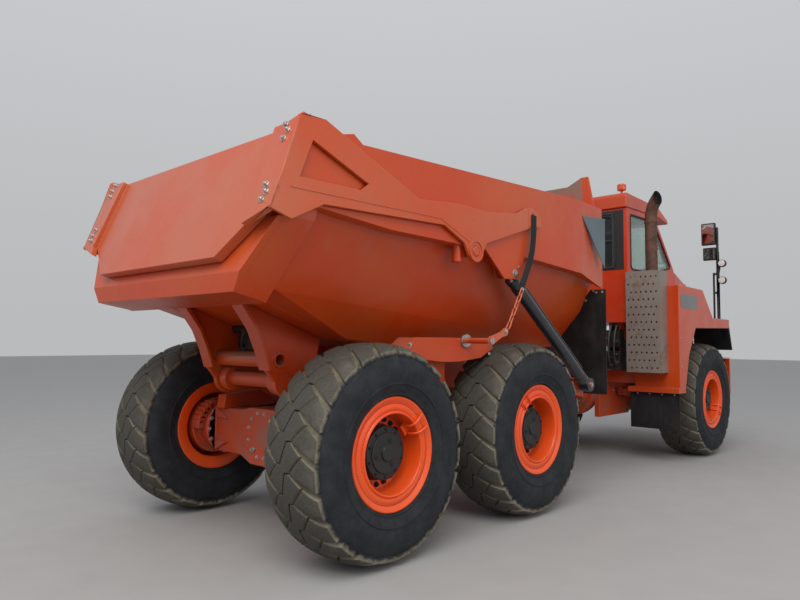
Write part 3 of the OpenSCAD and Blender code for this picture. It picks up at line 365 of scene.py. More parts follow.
frame_orange = paint("frame_orange", (0.52, 0.044, 0.002), (0.53, 0.064, 0.008),
                     rough=0.4, dust=0.45, mud=0.75, mud_top=1.5, chips=0.5)
dress("rear_chassis walking_beams", frame_orange, 0.004)
chain_pin = from_axle(1.107, 0, 1.566)
bm = bmesh.new()
for x in (0.42, 1.46):
    for z in (1.45, 1.53):
        bolt(bm, (x, 1.15, z), LEFT, 0.014)
for x in (0.3, 0.9, 1.5, 2.1):
    for z in (1.33, 1.08):
        bolt(bm, (x, 0.38, z), LEFT, 0.015)
for c, s in circle(8, 0.065):
    bolt(bm, (0.9385 + c, 0.62, 1.09 + s), LEFT, 0.012)
# oval pad under the chain's pin
slab(bm, [(chain_pin.x + c * 1.25, chain_pin.z + s) for c, s in circle(20, 0.055)], 1.148, 1.172)
mirrored(bm)
piece("rear_frame_bolts", bm, bolt_steel, "rear_frame")

# Axles and driveshaft. Cast banjo beams with a bolted cover on the bowl, a flange of bolts before each hub,
# brake calipers, and tube shafts with joints between them.
axle_orange = paint("axle_orange", (0.46, 0.045, 0.012), (0.5, 0.065, 0.02),
                    rough=0.45, dust=0.35, mud=0.8, mud_top=1.3, chips=0.6)
dress("mid_axle rear_axle front_axle", axle_orange, 0.012, 3)
shaft_black = paint("shaft_black", (0.022, 0.022, 0.024), (0.035, 0.033, 0.032),
                    rough=0.5, dust=0.6, mud=0.8, mud_top=1.3)
dress("driveshaft", shaft_black, 0.004)
TRACK_HALF = 1.1435
WHEEL_Z = 0.775
AXLES = {"front": (6.378, "front_frame"), "mid": (1.877, "rear_frame"), "rear": (0.0, "rear_frame")}
CALIPER_HALF = Vector((0.035, 0.055, 0.035))
for name, (x, body) in AXLES.items():
    bm = bmesh.new()
    for c, s in circle(14, 0.207):
        bolt(bm, (x + c, TRACK_HALF - 0.46, WHEEL_Z + s), (0, -1, 0), 0.014)
    mirrored(bm)
    for c, s in circle(12, 0.185, math.tau / 24):
        bolt(bm, (x - 0.14, c, WHEEL_Z + s), BACK, 0.012)
    rod(bm, (x - 0.14, 0.09, WHEEL_Z - 0.12), (x - 0.155, 0.09, WHEEL_Z - 0.12), 0.022, 8)
    piece(f"axle_bolts_{name}", bm, bolt_steel, body)
    bm = bmesh.new()
    # brake calipers hung on the inboard side of each drum
    for lean in (35, 215):
        for k in range(6):
            t = math.radians(lean - 28 + 56 * k / 5)
            mid = from_axle(x - 0.225 * math.cos(t), TRACK_HALF - 0.3, WHEEL_Z + 0.225 * math.sin(t))
            block(bm, mid - CALIPER_HALF, mid + CALIPER_HALF)
    # gussets between the beam and its end flange
    for z in (1, -1):
        corners = ((0.47, 0.19), (0.47, 0.1), (0.66, 0.1))
        slab(bm, [(TRACK_HALF - inward, WHEEL_Z + z * up) for inward, up in corners],
             REAR_AXLE + x - 0.16, REAR_AXLE + x - 0.135, "yz")
    mirrored(bm)
    piece(f"axle_calipers_{name}", bm, axle_orange, body, 0.008)
bm = bmesh.new()
for x in (0.36, 1.7, 2.24, 3.7):
    rod(bm, (x, 0, WHEEL_Z), (x + 0.03, 0, WHEEL_Z), 0.078, 24)
    for c, s in circle(4, 0.062):
        bolt(bm, (x + 0.03, c, WHEEL_Z + s), (1, 0, 0), 0.009)
piece("driveshaft_joints", bm, shaft_black, "rear_frame")

# Tyres. Wide earthmover tyres, half worn. Each pitch has one slanted centre block and two
# shoulder blocks, cut apart by grooves full of dried mud. The sidewall is smooth.
TYRE_R = 0.775
TREAD_TOP, CROWN_DROP, CROWN_POWER = 0.773, 0.05, 3.2
TREAD_HALF = 0.262
tyre_rubber, shader, place = blank("tyre_rubber", Specular_IOR_Level=0.35)
axes = split(place)
radius = calc("SQRT", calc("ADD", times(axes["X"], axes["X"]), times(axes["Z"], axes["Z"])))
across = calc("ABSOLUTE", axes["Y"])
cloud = noise(place, 7, 6, 0.65)
fine = noise(place, 60, 5, 0.7)
wall = tint(rise(cloud, 0.35, 0.7), (0.012, 0.014, 0.018), (0.024, 0.027, 0.032))
worn = tint(rise(fine, 0.3, 0.75), (0.05, 0.047, 0.04), (0.088, 0.083, 0.071))
shoulder_dust = times(rise(across, 0.12, 0.25), rise(cloud, 0.42, 0.72, 0.45))
worn = tint(shoulder_dust, worn, (0.17, 0.155, 0.12))
ragged = calc("ADD", radius, times(noise(place, 24, 3), 0.05))
on_tread = times(rise(ragged, 0.712, 0.736), rise(across, 0.292, 0.262))
share = calc("POWER", times(across, 1 / TREAD_HALF), CROWN_POWER)
below_top = calc("SUBTRACT", calc("MULTIPLY_ADD", share, -CROWN_DROP, TREAD_TOP), radius)
below_top = calc("MULTIPLY_ADD", fine, 0.004, below_top)
in_groove = times(rise(below_top, 0.0035, 0.008), rise(across, 0.03, 0.06, 1.0, 0.12))
in_groove = times(in_groove, rise(ragged, 0.708, 0.752))
in_groove = times(in_groove, rise(cloud, 0.3, 0.6, 0.85, 0.4))
colour = tint(in_groove, tint(on_tread, wall, worn), (0.23, 0.205, 0.15))
feed(shader, Base_Color=colour, Roughness=rise(fine, 0.2, 0.8, 0.92, 0.7), Normal=bump(fine, 0.35, 0.004))


def crown(y):
    """Radius of the worn tread at that place across the tyre."""
    return TREAD_TOP - CROWN_DROP * (abs(y) / TREAD_HALF) ** CROWN_POWER


def half_turn(outline):
    """The same outline on the tyre's other half, turned round the middle of the centre block."""
    return [(-y, MIDDLE - u) for y, u in outline]


# outlines as place across the tyre and place round it
PITCHES = 24
PITCH = math.tau * TYRE_R / PITCHES
MIDDLE = -0.056
CENTRE_HALF = [(-0.062, -0.05), (-0.0195, -0.051), (0.0285, -0.197), (0.064, -0.1945), (0.155, -0.12)]
SHOULDER = [(0.071, -0.004), (0.262, 0.112), (0.262, -0.032), (0.169, -0.11)]
# each block's outline and depth
BLOCKS = [(CENTRE_HALF + half_turn(CENTRE_HALF), 0.024), (SHOULDER, 0.043), (half_turn(SHOULDER), 0.043)]


def tread_block(bm, outline, depth):
    """A block of the tread: outline as angle and place across, sides leaning out towards the foot."""
    mid_a = sum(p[0] for p in outline) / len(outline)
    mid_y = sum(p[1] for p in outline) / len(outline)

    def on_crown(shrink, drop, a, y):
        a, y = mid_a + (a - mid_a) * shrink, mid_y + (y - mid_y) * shrink
        r = crown(y) - drop
        return bm.verts.new((r * math.sin(a), y, r * math.cos(a)))

    dense = []
    for p, q in zip(outline, outline[1:] + outline[:1]):
        cuts = 4 if abs(p[0] - q[0]) * TYRE_R + abs(p[1] - q[1]) > 0.09 else 2
        for k in range(cuts):
            dense.append((p[0] + (q[0] - p[0]) * k / cuts, p[1] + (q[1] - p[1]) * k / cuts))
    profile = ((1.03, depth), (1.0, 0.006), (0.988, 0.0015), (0.95, 0.0), (0.64, 0.0), (0.3, 0.0))
    rings = [[on_crown(shrink, drop, a, y) for a, y in dense] for shrink, drop in profile]
    join_rings(bm, rings)
    top = on_crown(0.0, 0.0, mid_a, mid_y)
    for p, q in zip(rings[-1], rings[-1][1:] + rings[-1][:1]):
        bm.faces.new((p, q, top))


def revolve(bm, profile, steps):
    """A ring about Y from a closed profile of radius and place across."""
    rings = [[bm.verts.new((r * s, y, r * c)) for r, y in profile] for c, s in circle(steps, 1)]
    for near, far in zip(rings, rings[1:] + rings[:1]):
        for i in range(len(profile)):
            j = (i + 1) % len(profile)
            if profile[i][0] > 0 or profile[j][0] > 0:
                bm.faces.new((near[i], near[j], far[j], far[i]))


CARCASS = [(0.752, 0.0), (0.748, 0.1), (0.735, 0.17), (0.713, 0.225), (0.69, 0.255), (0.655, 0.276),
           (0.615, 0.29), (0.575, 0.294), (0.53, 0.291), (0.5, 0.287), (0.497, 0.291), (0.489, 0.291),
           (0.486, 0.285), (0.455, 0.275), (0.425, 0.262), (0.42, 0.264), (0.412, 0.263), (0.408, 0.256),
           (0.4, 0.247), (0.385, 0.2385), (0.33, 0.2355), (0.3185, 0.2355)]
bm = bmesh.new()
revolve(bm, CARCASS + [(r, -y) for r, y in CARCASS[:0:-1]], 96)
for k in range(PITCHES):
    for outline, depth in BLOCKS:
        tread_block(bm, [((u + k * PITCH) / TYRE_R, y) for y, u in outline], depth)
bmesh.ops.recalc_face_normals(bm, faces=bm.faces[:])
shared_tyre = bpy.data.meshes.new("tyre")
bm.to_mesh(shared_tyre)
bm.free()
shared_tyre.materials.append(tyre_rubber)
shared_tyre.polygons.foreach_set("use_smooth", [True] * len(shared_tyre.polygons))
shared_tyre.set_sharp_from_angle(angle=math.radians(38))


def wheel_centre(wheel):
    axle, side = wheel.split("_")
    return from_axle(AXLES[axle][0], TRACK_HALF if side == "left" else -TRACK_HALF, WHEEL_Z)


TURNS = {"front_left": 5, "front_right": 11, "mid_left": 3, "mid_right": 8, "rear_left": 13, "rear_right": 0}
for wheel, turn in TURNS.items():
    thing = bpy.data.objects.new(f"worn_tyre_{wheel}", shared_tyre)
    thing.location = wheel_centre(wheel)
    thing.rotation_euler = (0, math.radians(turn), 0)
    collection.objects.link(thing)
    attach(thing, f"wheel_{wheel}")
    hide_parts(f"tyre_{wheel}")

# Rims and hubs. Five-piece earthmover rims in bright orange with a lock ring, a guard over the valve
# and a row of wheel nuts. The planetary hub in the middle is painted black.
rim_orange = paint("rim_orange", (0.86, 0.068, 0.002), (0.84, 0.09, 0.006),
                   rough=0.36, dust=0.08, mud=0.2, mud_top=0.0, chips=0.3, coat=0.2)
hub_black = paint("hub_black", (0.006, 0.006, 0.007), (0.013, 0.013, 0.014),
                  rough=0.45, dust=0.08, mud=0.3, mud_top=-0.4, coat=0.1)
# profiles as radius and place outwards
RIM = [(0.3985, 0.232), (0.4, 0.245), (0.3975, 0.2525), (0.392, 0.2555), (0.386, 0.2545), (0.372, 0.247),
       (0.357, 0.239), (0.351, 0.236), (0.345, 0.239), (0.332, 0.2455), (0.32, 0.2475), (0.308, 0.2455),
       (0.3015, 0.24), (0.297, 0.246), (0.292, 0.2525), (0.286, 0.2545), (0.281, 0.2515), (0.2785, 0.244),
       (0.277, 0.2), (0.2745, 0.12), (0.27, 0.088), (0.26, 0.073), (0.25, 0.07), (0.15, 0.07),
       (0.15, 0.026), (0.2915, 0.026), (0.2925, -0.222), (0.299, -0.238), (0.306, -0.243), (0.383, -0.2545),
       (0.392, -0.2545), (0.398, -0.25), (0.3985, -0.232), (0.318, -0.232), (0.318, 0.232)]
HUB = [(0.0, 0.196), (0.052, 0.196), (0.056, 0.192), (0.058, 0.184), (0.06, 0.1815), (0.14, 0.1815),
       (0.144, 0.178), (0.147, 0.17), (0.178, 0.168), (0.186, 0.164), (0.19, 0.156), (0.191, 0.08),
       (0.2, 0.078), (0.202, 0.0705), (0.0, 0.0705)]
VALVE_BAR = [(0.372, 0.258), (0.345, 0.262), (0.315, 0.262), (0.285, 0.256), (0.262, 0.225), (0.255, 0.17)]
VALVES = {"rear": math.radians(55), "mid": math.radians(-40), "front": math.radians(120)}


def lathe(bm, profile, steps=72):
    revolve(bm, profile, steps)
    bmesh.ops.remove_doubles(bm, verts=bm.verts[:], dist=0.00001)


def around(r, y, turn):
    """A place on a wheel by its radius, its place outwards and its turn."""
    return Vector((r * math.sin(turn), y, r * math.cos(turn)))


def on_wheel(name, bm, material, bevel, wheel):
    """Puts on that wheel a piece that was made for the left side."""
    if wheel.endswith("right"):
        bmesh.ops.scale(bm, vec=(1, -1, 1), verts=bm.verts[:])
    return piece(f"{name}_{wheel}", bm, material, f"wheel_{wheel}", bevel, at=wheel_centre(wheel))


for wheel in TURNS:
    valve = VALVES[wheel.split("_")[0]]
    bm = bmesh.new()
    lathe(bm, RIM)
    # guard over the valve: two bent bars and the box that they are welded to
    for spread in (-0.14, 0.14):
        hose(bm, [around(r, y, valve + spread) for r, y in VALVE_BAR], 0.009, 8)
    for t in (valve - 0.13 + 0.065 * k for k in range(5)):
        rod(bm, around(0.226, 0.15, t), around(0.276, 0.15, t), 0.012, 8)
    thing = on_wheel("rim_disc", bm, rim_orange, 0, wheel)
    thing.data.set_sharp_from_angle(angle=math.radians(50))
    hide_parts(f"rim_{wheel}")

    bm = bmesh.new()
    lathe(bm, HUB)
    for c, s in circle(10, 0.165):
        bolt(bm, Vector((s, 0.169, c)), LEFT, 0.01, 0.01)
    for c, s in circle(3, 0.098, 0.4):
        for high, r, sides, r_end in ((0.1885, 0.027, 24, 0.024), (0.1935, 0.012, 6, 0.012)):
            rod(bm, Vector((s, 0.1815, c)), Vector((s, high, c)), r, sides, r_end)
    on_wheel("hub", bm, hub_black, 0.001, wheel)

    bm = bmesh.new()
    for c, s in circle(20, 0.232):
        bolt(bm, Vector((s, 0.0705, c)), LEFT, 0.015, 0.022)
    on_wheel("wheel_nuts", bm, hub_black, 0.001, wheel)

# Dump body. A welded tub of wear plate: flat floor, two-slope walls, hollow side rails, a ramp with
# a flanged collar at the tail, and a headboard. Painted outside, scoured by loads inside.
body_orange = paint("body_orange", (0.54, 0.047, 0.001), (0.54, 0.07, 0.006),
                    rough=0.33, dust=0.3, mud=0.3, mud_top=1.7, chips=0.35, scour=0.85, coat=0.22)
dress("bed bed_brackets", body_orange, 0.004)
slate_blue = paint("slate_blue", (0.08, 0.12, 0.145), (0.105, 0.145, 0.165), rough=0.4, dust=0.3, mud=0)


def in_frame(outline):
    """An outline of places along and up, moved from the rearmost axle into the part's frame."""
    return [(x + REAR_AXLE, z) for x, z in outline]


def border(bm, outer, inner, low, high, plane="xz"):
    """A plate with an opening, as four strips."""
    for i in range(4):
        j = (i + 1) % 4
        slab(bm, [outer[i], outer[j], inner[j], inner[i]], low, high, plane)


bm = bmesh.new()
slab(bm, in_frame([(2.803, 2.845), (3.298, 2.885), (3.283, 2.345)]), 1.3465, 1.3525)
mirrored(bm)
piece("rail_corner_panels", bm, slate_blue, "dump_body", 0.001)
bm = bmesh.new()
# weld seams where the wall meets the rail, and along the fold
for line in ([(-0.62, 1.236, 2.404), (0.5, 1.236, 2.372), (1.9, 1.236, 2.331), (2.76, 1.236, 2.279)],
             [(-0.7, 0.7, 1.878), (0.11, 0.69, 1.5735), (0.78, 0.69, 1.5095), (3.28, 0.69, 1.5095)]):
    hose(bm, line, 0.006, 8)
mirrored(bm)
piece("body_weld_seams", bm, body_orange, "dump_body", 0)
# broad flat face round the tail, in one plane with the plate that the gate closes on
GATE_LEAN = math.radians(20.5)
GATE_FOOT_X, GATE_FOOT_Z = -1.129, 2.088
TAIL_X = -1.0443  # the rear face at the height of the gate's foot
COLLAR_FOOT = 1.9  # corners lower than this lie on the collar's sloping underside
u_shape = [(0.845, 2.056), (1.178, 2.3295), (1.3112, 2.3295), (1.0978, 1.99), (1.0202, 1.864)]
u_shape += [(-y, z) for y, z in u_shape[::-1]]
bm = bmesh.new()
rear, front = [], []
for y, z in u_shape:
    x = TAIL_X + (z - GATE_FOOT_Z) * math.tan(GATE_LEAN)
    if z > COLLAR_FOOT:
        ends = (x - 0.003, y, z), (x + 0.056, y, z)
    else:
        ends = (-1.074, y, z), (-0.85, math.copysign(0.9895, y), 1.8185)
    for side, end in zip((rear, front), ends):
        side.append(bm.verts.new(from_axle(*end)))
for corners in ((0, 1, 2, 3, 6, 7, 8, 9), (3, 4, 5, 6)):
    bm.faces.new([rear[k] for k in corners])
bm.faces.new(front[::-1])
join_rings(bm, [rear, front])
piece("tail_face_plate", bm, body_orange, "dump_body", 0.003)
# lamp cluster and valve block between the hinge brackets
tail_black = paint("tail_black", (0.01, 0.01, 0.011), (0.022, 0.021, 0.02), rough=0.5, dust=0.3, mud=0.4)
bm = bmesh.new()
block(bm, (-0.16, -0.33, 1.5), (0.03, 0.33, 1.6))
block(bm, (-0.2, -0.24, 1.47), (-0.1, -0.12, 1.66))
block(bm, (-0.22, 0.02, 1.48), (-0.1, 0.16, 1.63))
rod(bm, (-0.15, -0.36, 1.66), (-0.15, 0.38, 1.66), 0.045, 20)
for y in (-0.26, -0.06, 0.22):
    rod(bm, (-0.17, y, 1.45), (-0.17, y, 1.64), 0.03, 16)
for y in (-0.2, -0.14, 0.09):
    path = ((-0.14, y, 1.66), (-0.24, y + 0.02, 1.62), (-0.24, y + 0.05, 1.52), (-0.16, y + 0.06, 1.49))
    hose(bm, curve_through(path, 5), 0.011, 8)
piece("tail_valve_block", bm, tail_black, "dump_body", 0.004)

# Side flaps of the body. Thick black rubber sheets that keep thrown mud off the cab, bolted through a strip
# along the front wall's slanted edges.
sheet_rubber, shader, place = blank("sheet_rubber", Specular_IOR_Level=0.3)
cloud = noise(place, 3, 6, 0.65)
ripple = noise(stretched(place, (1.0, 7.0, 0.6)), 1.5, 2)
feed(shader, Base_Color=tint(rise(cloud, 0.4, 0.75), (0.01, 0.01, 0.012), (0.028, 0.026, 0.025)),
     Roughness=rise(cloud, 0.3, 0.7, 0.75, 0.5), Normal=bump(ripple, 0.5, 0.02))
dress("bed_flaps front_flaps gate_straps", sheet_rubber, 0.002)
seats = [(3.335, 0.735 + 0.09 * k, 1.6 + 0.104 * k) for k in range(6)]
seats += [(3.3353, 1.22 + 0.07 * k, 2.1) for k in range(2)]
bolts("flap_bolts", "dump_body", [(seat, BACK, 0.011) for seat in seats])

# Tailgate. One thick plate with a bent lower edge, carried by two long side arms that turn on
# bosses in the body. Bolts hold the arms' flanges to the plate; a slotted lug takes the strap.
# The gate's second tone is paler and pinker than the body's: part sun-faded paint, part painted reflection of
# the bright sky on its rear-facing plate.
gate_orange_and_sheen = paint("gate_orange_and_sheen", (0.55, 0.066, 0.006), (0.52, 0.1, 0.034),
                    rough=0.3, dust=0.3, mud=0.2, mud_top=1.7, chips=0.35, coat=0.4)
dress("tailgate", gate_orange_and_sheen, 0.004)


def leftward(y):
    return Vector((0, y, 0))


def flat_ring(bm, middle, low_r, high_r, thick):
    """A ring about Y, from its middle outwards by its thickness."""
    section = [(low_r, 0), (high_r, 0), (high_r, thick), (low_r, thick)]
    rows = [[bm.verts.new(middle + Vector((r * c, y, r * s))) for r, y in section] for c, s in circle(40, 1)]
    join_rings(bm, rows, closed=True)


gate_foot = from_axle(GATE_FOOT_X, 0, GATE_FOOT_Z)
gate_up = Vector((math.sin(GATE_LEAN), 0, math.cos(GATE_LEAN)))
gate_out = Vector((-math.cos(GATE_LEAN), 0, math.sin(GATE_LEAN)))
flange = ((0.883, 1.25), (0.835, 1.288), (0.775, 1.272), (0.442, 1.265), (0.388, 1.291), (0.335, 1.274))
seats = [gate_foot + gate_up * up + gate_out * 0.0403 + leftward(y) for up, y in flange]
bolts("gate_bolts", "gate", [(seat, gate_out, 0.017, 0.018) for seat in seats], 0.001)
bm = bmesh.new()
lug = in_frame([(1.724, 2.59), (1.905, 2.618), (1.9, 2.742), (1.73, 2.752)])
gap = in_frame([(1.787, 2.642), (1.815, 2.642), (1.815, 2.72), (1.787, 2.72)])
border(bm, lug, gap, 1.3905, 1.3955)
pivot = from_axle(0.94, 0, 2.293)
flat_ring(bm, pivot + leftward(1.392), 0.075, 0.091, 0.012)
rod(bm, pivot + leftward(1.394), pivot + leftward(1.402), 0.04, 28, 0.036)
# weld bead along the arm
bead = ((-0.93, 2.5), (-0.2, 2.5), (0.5, 2.5), (0.86, 2.36))
hose(bm, [(x, 1.3915, z) for x, z in bead], 0.004, 8)
mirrored(bm)
piece("arm_lug_plates", bm, gate_orange_and_sheen, "gate", 0.001)
bm = bmesh.new()
flat_ring(bm, pivot + leftward(1.3925), 0.038, 0.077, 0.004)
mirrored(bm)
piece("arm_boss_seals", bm, sheet_rubber, "gate", 0)

# Gate chains. On each side a toggle plate on the frame's pin, six forged round links painted with
# the truck, two shackle bolts, and the pin through the strap's lower eye.
chain_orange = paint("chain_orange", (0.62, 0.1, 0.03), (0.45, 0.12, 0.06),
                     rough=0.5, dust=0.3, mud=0.2, chips=0.9)
CHAIN_Y = 1.4195
TOGGLE, TOGGLE_TURN = 0.246, math.radians(20.4)
LINK_PITCH, LINK_SIDE, LINK_R, WIRE = 0.07, 0.0534, 0.0155, 0.0068
TOGGLE_END = 0.022  # from the last pin of the toggle plate to its end, and on to the first link


def square_to(way):
    return Vector((-way.z, 0, way.x))


along = Vector((math.cos(TOGGLE_TURN), 0, math.sin(TOGGLE_TURN)))
above = square_to(along)
chain_low = chain_pin + along * TOGGLE + leftward(CHAIN_Y)
chain_way = (from_axle(1.58, CHAIN_Y, 2.022) - chain_low).normalized()
chain_side = square_to(chain_way)


def half_circle(middle, way, across, r, count):
    """Places on a half circle that bulges that way."""
    turns = [-math.pi / 2 + math.pi * k / count for k in range(count + 1)]
    return [middle + way * r * math.cos(t) + across * r * math.sin(t) for t in turns]


def chain_link(bm, middle, wide):
    """One round-wire link about its middle, wide is the direction of its width."""
    path = []
    for end in (1, -1):
        way = chain_way * end
        path += half_circle(middle + way * LINK_SIDE / 2, way, wide * end, LINK_R, 8)
    across = chain_way.cross(wide)
    rings = []
    for i, p in enumerate(path):
        side = (path[(i + 1) % len(path)] - path[i - 1]).normalized().cross(across)
        rings.append([bm.verts.new(p + side * c + across * s) for c, s in circle(10, WIRE)])
    join_rings(bm, rings, closed=True)


bm = bmesh.new()
for k in range(6):
    middle = chain_low + chain_way * (TOGGLE_END + LINK_PITCH * (k + 0.5))
    chain_link(bm, middle, chain_side if k % 2 else Vector(LEFT))
toggle_end = chain_pin + along * (TOGGLE - TOGGLE_END)
outline = half_circle(chain_pin, -along, -above, 0.039, 12)
outline += [chain_pin + along * 0.07 - above * 0.03, chain_pin + along * 0.15 - above * 0.024]
outline += half_circle(toggle_end, along, above, 0.034, 12)
outline += [chain_pin + along * 0.15 + above * 0.024, chain_pin + along * 0.07 + above * 0.03]
for low, high in ((1.4135, 1.4175), (1.4215, 1.4255)):
    slab(bm, [(p.x, p.z) for p in outline], low, high)
rod(bm, chain_pin + leftward(1.417), chain_pin + leftward(1.422), 0.036, 24)
rod(bm, toggle_end + leftward(1.4165), toggle_end + leftward(1.4225), 0.03, 24)
mirrored(bm)
thing = piece("chain_and_toggle", bm, chain_orange, "chains", 0)
thing.data.set_sharp_from_angle(angle=math.radians(40))
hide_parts("gate_chains")
strap_pin = chain_low + chain_way * 0.4337 - leftward(CHAIN_Y)
bm = bmesh.new()
bolt(bm, chain_pin + leftward(1.4365), LEFT, 0.02, 0.004)
bolt(bm, toggle_end + leftward(1.4255), LEFT, 0.016, 0.01)
rod(bm, strap_pin + leftward(1.3975), strap_pin + leftward(1.4295), 0.009, 16)
bolt(bm, strap_pin + leftward(1.4265), LEFT, 0.012, 0.007)
mirrored(bm)
piece("shackle_bolts", bm, bolt_steel, "chains", 0.0005)

# Tipping hoists. Two-stage hydraulic cylinders in blue-black enamel, a steel feed pipe clamped along
# each barrel, ground chrome rods, and pins in the eyes.
enamel_black = paint("enamel_black", (0.012, 0.015, 0.022), (0.02, 0.022, 0.028),
                     rough=0.22, dust=0.25, mud=0.6, mud_top=1.3, coat=0.6)
chrome, shader, place = blank("chrome_rod", Metallic=1.0, Roughness=0.12)
feed(shader, Base_Color=tint(noise(place, 12), (0.66, 0.67, 0.68), (0.52, 0.52, 0.52)))
dress("hoist_barrels steer_barrel_left steer_barrel_right", enamel_black, 0.003)
dress("hoist_stages hoist_rods steer_rod_left steer_rod_right", chrome, 0.002)
hoist_low, hoist_top = from_axle(3.0, 1.265, 1.12), from_axle(1.56, 1.265, 2.18)
hoist_way = (hoist_top - hoist_low).normalized()
hoist_side = square_to(hoist_way)
bm = bmesh.new()
for d, wide in ((0.14, 0.062), (0.55, 0.0605), (1.05, 0.0605), (1.55, 0.062), (1.66, 0.064)):
    rod(bm, hoist_low + hoist_way * d, hoist_low + hoist_way * (d + 0.03), wide, 40)
feed_pipe = ((0.16, 0.058), (0.19, 0.084), (0.3, 0.088), (1.3, 0.088), (1.44, 0.084), (1.47, 0.058))
hose(bm, curve_through([hoist_low + hoist_way * d - hoist_side * low for d, low in feed_pipe], 5), 0.01, 10)
mirrored(bm)
piece("hoist_bands_and_pipes", bm, enamel_black, "hoist_lower", 0.001)
bolts("hoist_pin_bolts", "rear_frame", [(hoist_low + leftward(0.066), LEFT, 0.02, 0.008)])
bolts("hoist_top_bolts", "dump_body", [(hoist_top + Vector((0, 0.0905, -0.02)), LEFT, 0.026, 0.014),
                                       (hoist_top + Vector((0.06, 0.0905, 0.04)), LEFT, 0.01, 0.008)])

# Hitch and steering. A cast hitch carries the upright pivot and a turning ring with a circle of bolts. A
# steering cylinder on each side reaches from the rear frame to the hitch's lugs.
dress("hitch", frame_orange, 0.006)
bolts("turning_ring_bolts", "hitch_body",
      [((4.75, c, 0.95 + s), BACK, 0.015, 0.014) for c, s in circle(20, 0.29)], both=False)

# Front frame. Deep side plates under the cab and hood with cross tubes, outriggers for the guards and
# towers over the front struts. Valves and hoses of the steering stand behind the cab.
dress("front_chassis", frame_orange, 0.004)
dress("engine_block", shaft_black, 0.012)
bolts("front_frame_bolts", "front_frame",
      [((x, 0.42, z), LEFT, 0.014) for x in (5.05, 5.4, 5.75, 6.9, 7.3, 7.8) for z in (0.9, 1.12)])
machine_black = paint("machine_black", (0.014, 0.013, 0.013), (0.03, 0.026, 0.024),
                      rough=0.5, dust=0.6, mud=0.6, mud_top=1.6)
# hose ports of the lower valves as place across and height
PORTS = [(0.44 + 0.08 * k, 1.26 + 0.04 * (k % 2)) for k in range(4)]
bm = bmesh.new()
for side in (1, -1):
    block(bm, (4.965, side * 0.56 - 0.16, 1.2), (5.14, side * 0.56 + 0.16, 1.44))
    block(bm, (5.0, side * 0.6 - 0.1, 1.5), (5.13, side * 0.6 + 0.1, 1.72))
    for y, z in PORTS:
        y *= side
        path = ((4.965, y, z), (4.92, y, 1.27), (4.9, y * 0.98, 1.42), (4.93, y * 0.97, 1.62),
                (5.02, y * 0.96, 1.78))
        hose(bm, curve_through(path, 6), 0.014, 10)
    rod(bm, (5.16, side * 0.74, 1.18), (5.16, side * 0.74, 1.6), 0.07, 28)
block(bm, (4.97, -0.36, 1.19), (5.3, 0.36, 1.5))
rod(bm, (4.98, -0.05, 1.62), (5.4, -0.05, 1.62), 0.14, 32)
piece("steering_valves", bm, machine_black, "front_frame", 0.005)
bm = bmesh.new()
for y, z in PORTS:
    rod(bm, (4.962, y, z), (4.932, y, z), 0.02, 6)
    rod(bm, (4.962, y, z + 0.1), (4.927, y, z + 0.1), 0.013, 12)
rod(bm, (5.0, 0.52, 1.61), (4.95, 0.52, 1.61), 0.03, 16)
rod(bm, (5.0, 0.66, 1.57), (4.94, 0.66, 1.57), 0.022, 6)
mirrored(bm)
piece("hose_fittings", bm, bolt_steel, "front_frame", 0.001)

# Bumper and headlamps. A folded plate bumper with cut-outs for two square lamps, each with a ribbed lens,
# and the ears of the hood's hinge on top.
hull_orange = paint("hull_orange", (0.54, 0.042, 0.001), (0.54, 0.062, 0.006),
                    rough=0.3, dust=0.25, mud=0.45, mud_top=1.35, chips=0.2, coat=0.5)
dress("bumper", hull_orange, 0.008, 3)


def ribs(place, scale, direction):
    values = {"Vector": place, "Scale": scale}
    return add(place.id_data, "TexWave", values, wave_type="BANDS", bands_direction=direction).outputs["Fac"]


lens, shader, place = blank("headlamp_lens", Roughness=0.08, Coat_Weight=1.0)
pressed = ribs(place, 18.0, "Y")
feed(shader, Base_Color=tint(pressed, (0.55, 0.57, 0.58), (0.85, 0.86, 0.86)),
     Normal=bump(pressed, 0.4, 0.004))
dress("headlamps", lens, 0.004)

# Hood and grille. A sheet-steel hood hinged at the nose, with pressed louvres on its cheeks and pull
# handles in black plastic. Flat bars make the grille.
trim_black, shader, place = blank("trim_black")
grain = noise(place, 180, 3)
feed(shader, Base_Color=tint(noise(place, 5), (0.012, 0.012, 0.013), (0.024, 0.023, 0.023)),
     Roughness=rise(grain, 0.3, 0.7, 0.62, 0.48), Normal=bump(grain, 0.2, 0.0015))
dress("hood", hull_orange, 0.012, 3)
dress("grille", trim_black, 0.002)
bm = bmesh.new()
for x in (7.86 + 0.055 * k for k in range(7)):
    y = 0.812 - 0.13 * (x - 6.63) / 1.73 - 0.004  # just inside the cheek, which closes in towards the nose
    low, high = from_axle(x, y, 1.6), from_axle(x + 0.03, y, 1.95)
    top = low.y + 0.012
    slab(bm, [(low.x, low.y), (high.x, low.y), (high.x, top), (low.x + 0.012, top)], low.z, high.z, "xy")
mirrored(bm)
piece("hood_louvres", bm, hull_orange, "hood_body", 0.002)
bm = bmesh.new()
path = [(7.0, 0.795), (7.0, 0.83), (7.06, 0.835), (7.12, 0.825), (7.12, 0.79)]
hose(bm, curve_through([(x, y, 2.04) for x, y in path], 4), 0.008, 8)
mirrored(bm)
piece("hood_handles", bm, trim_black, "hood_body", 0)

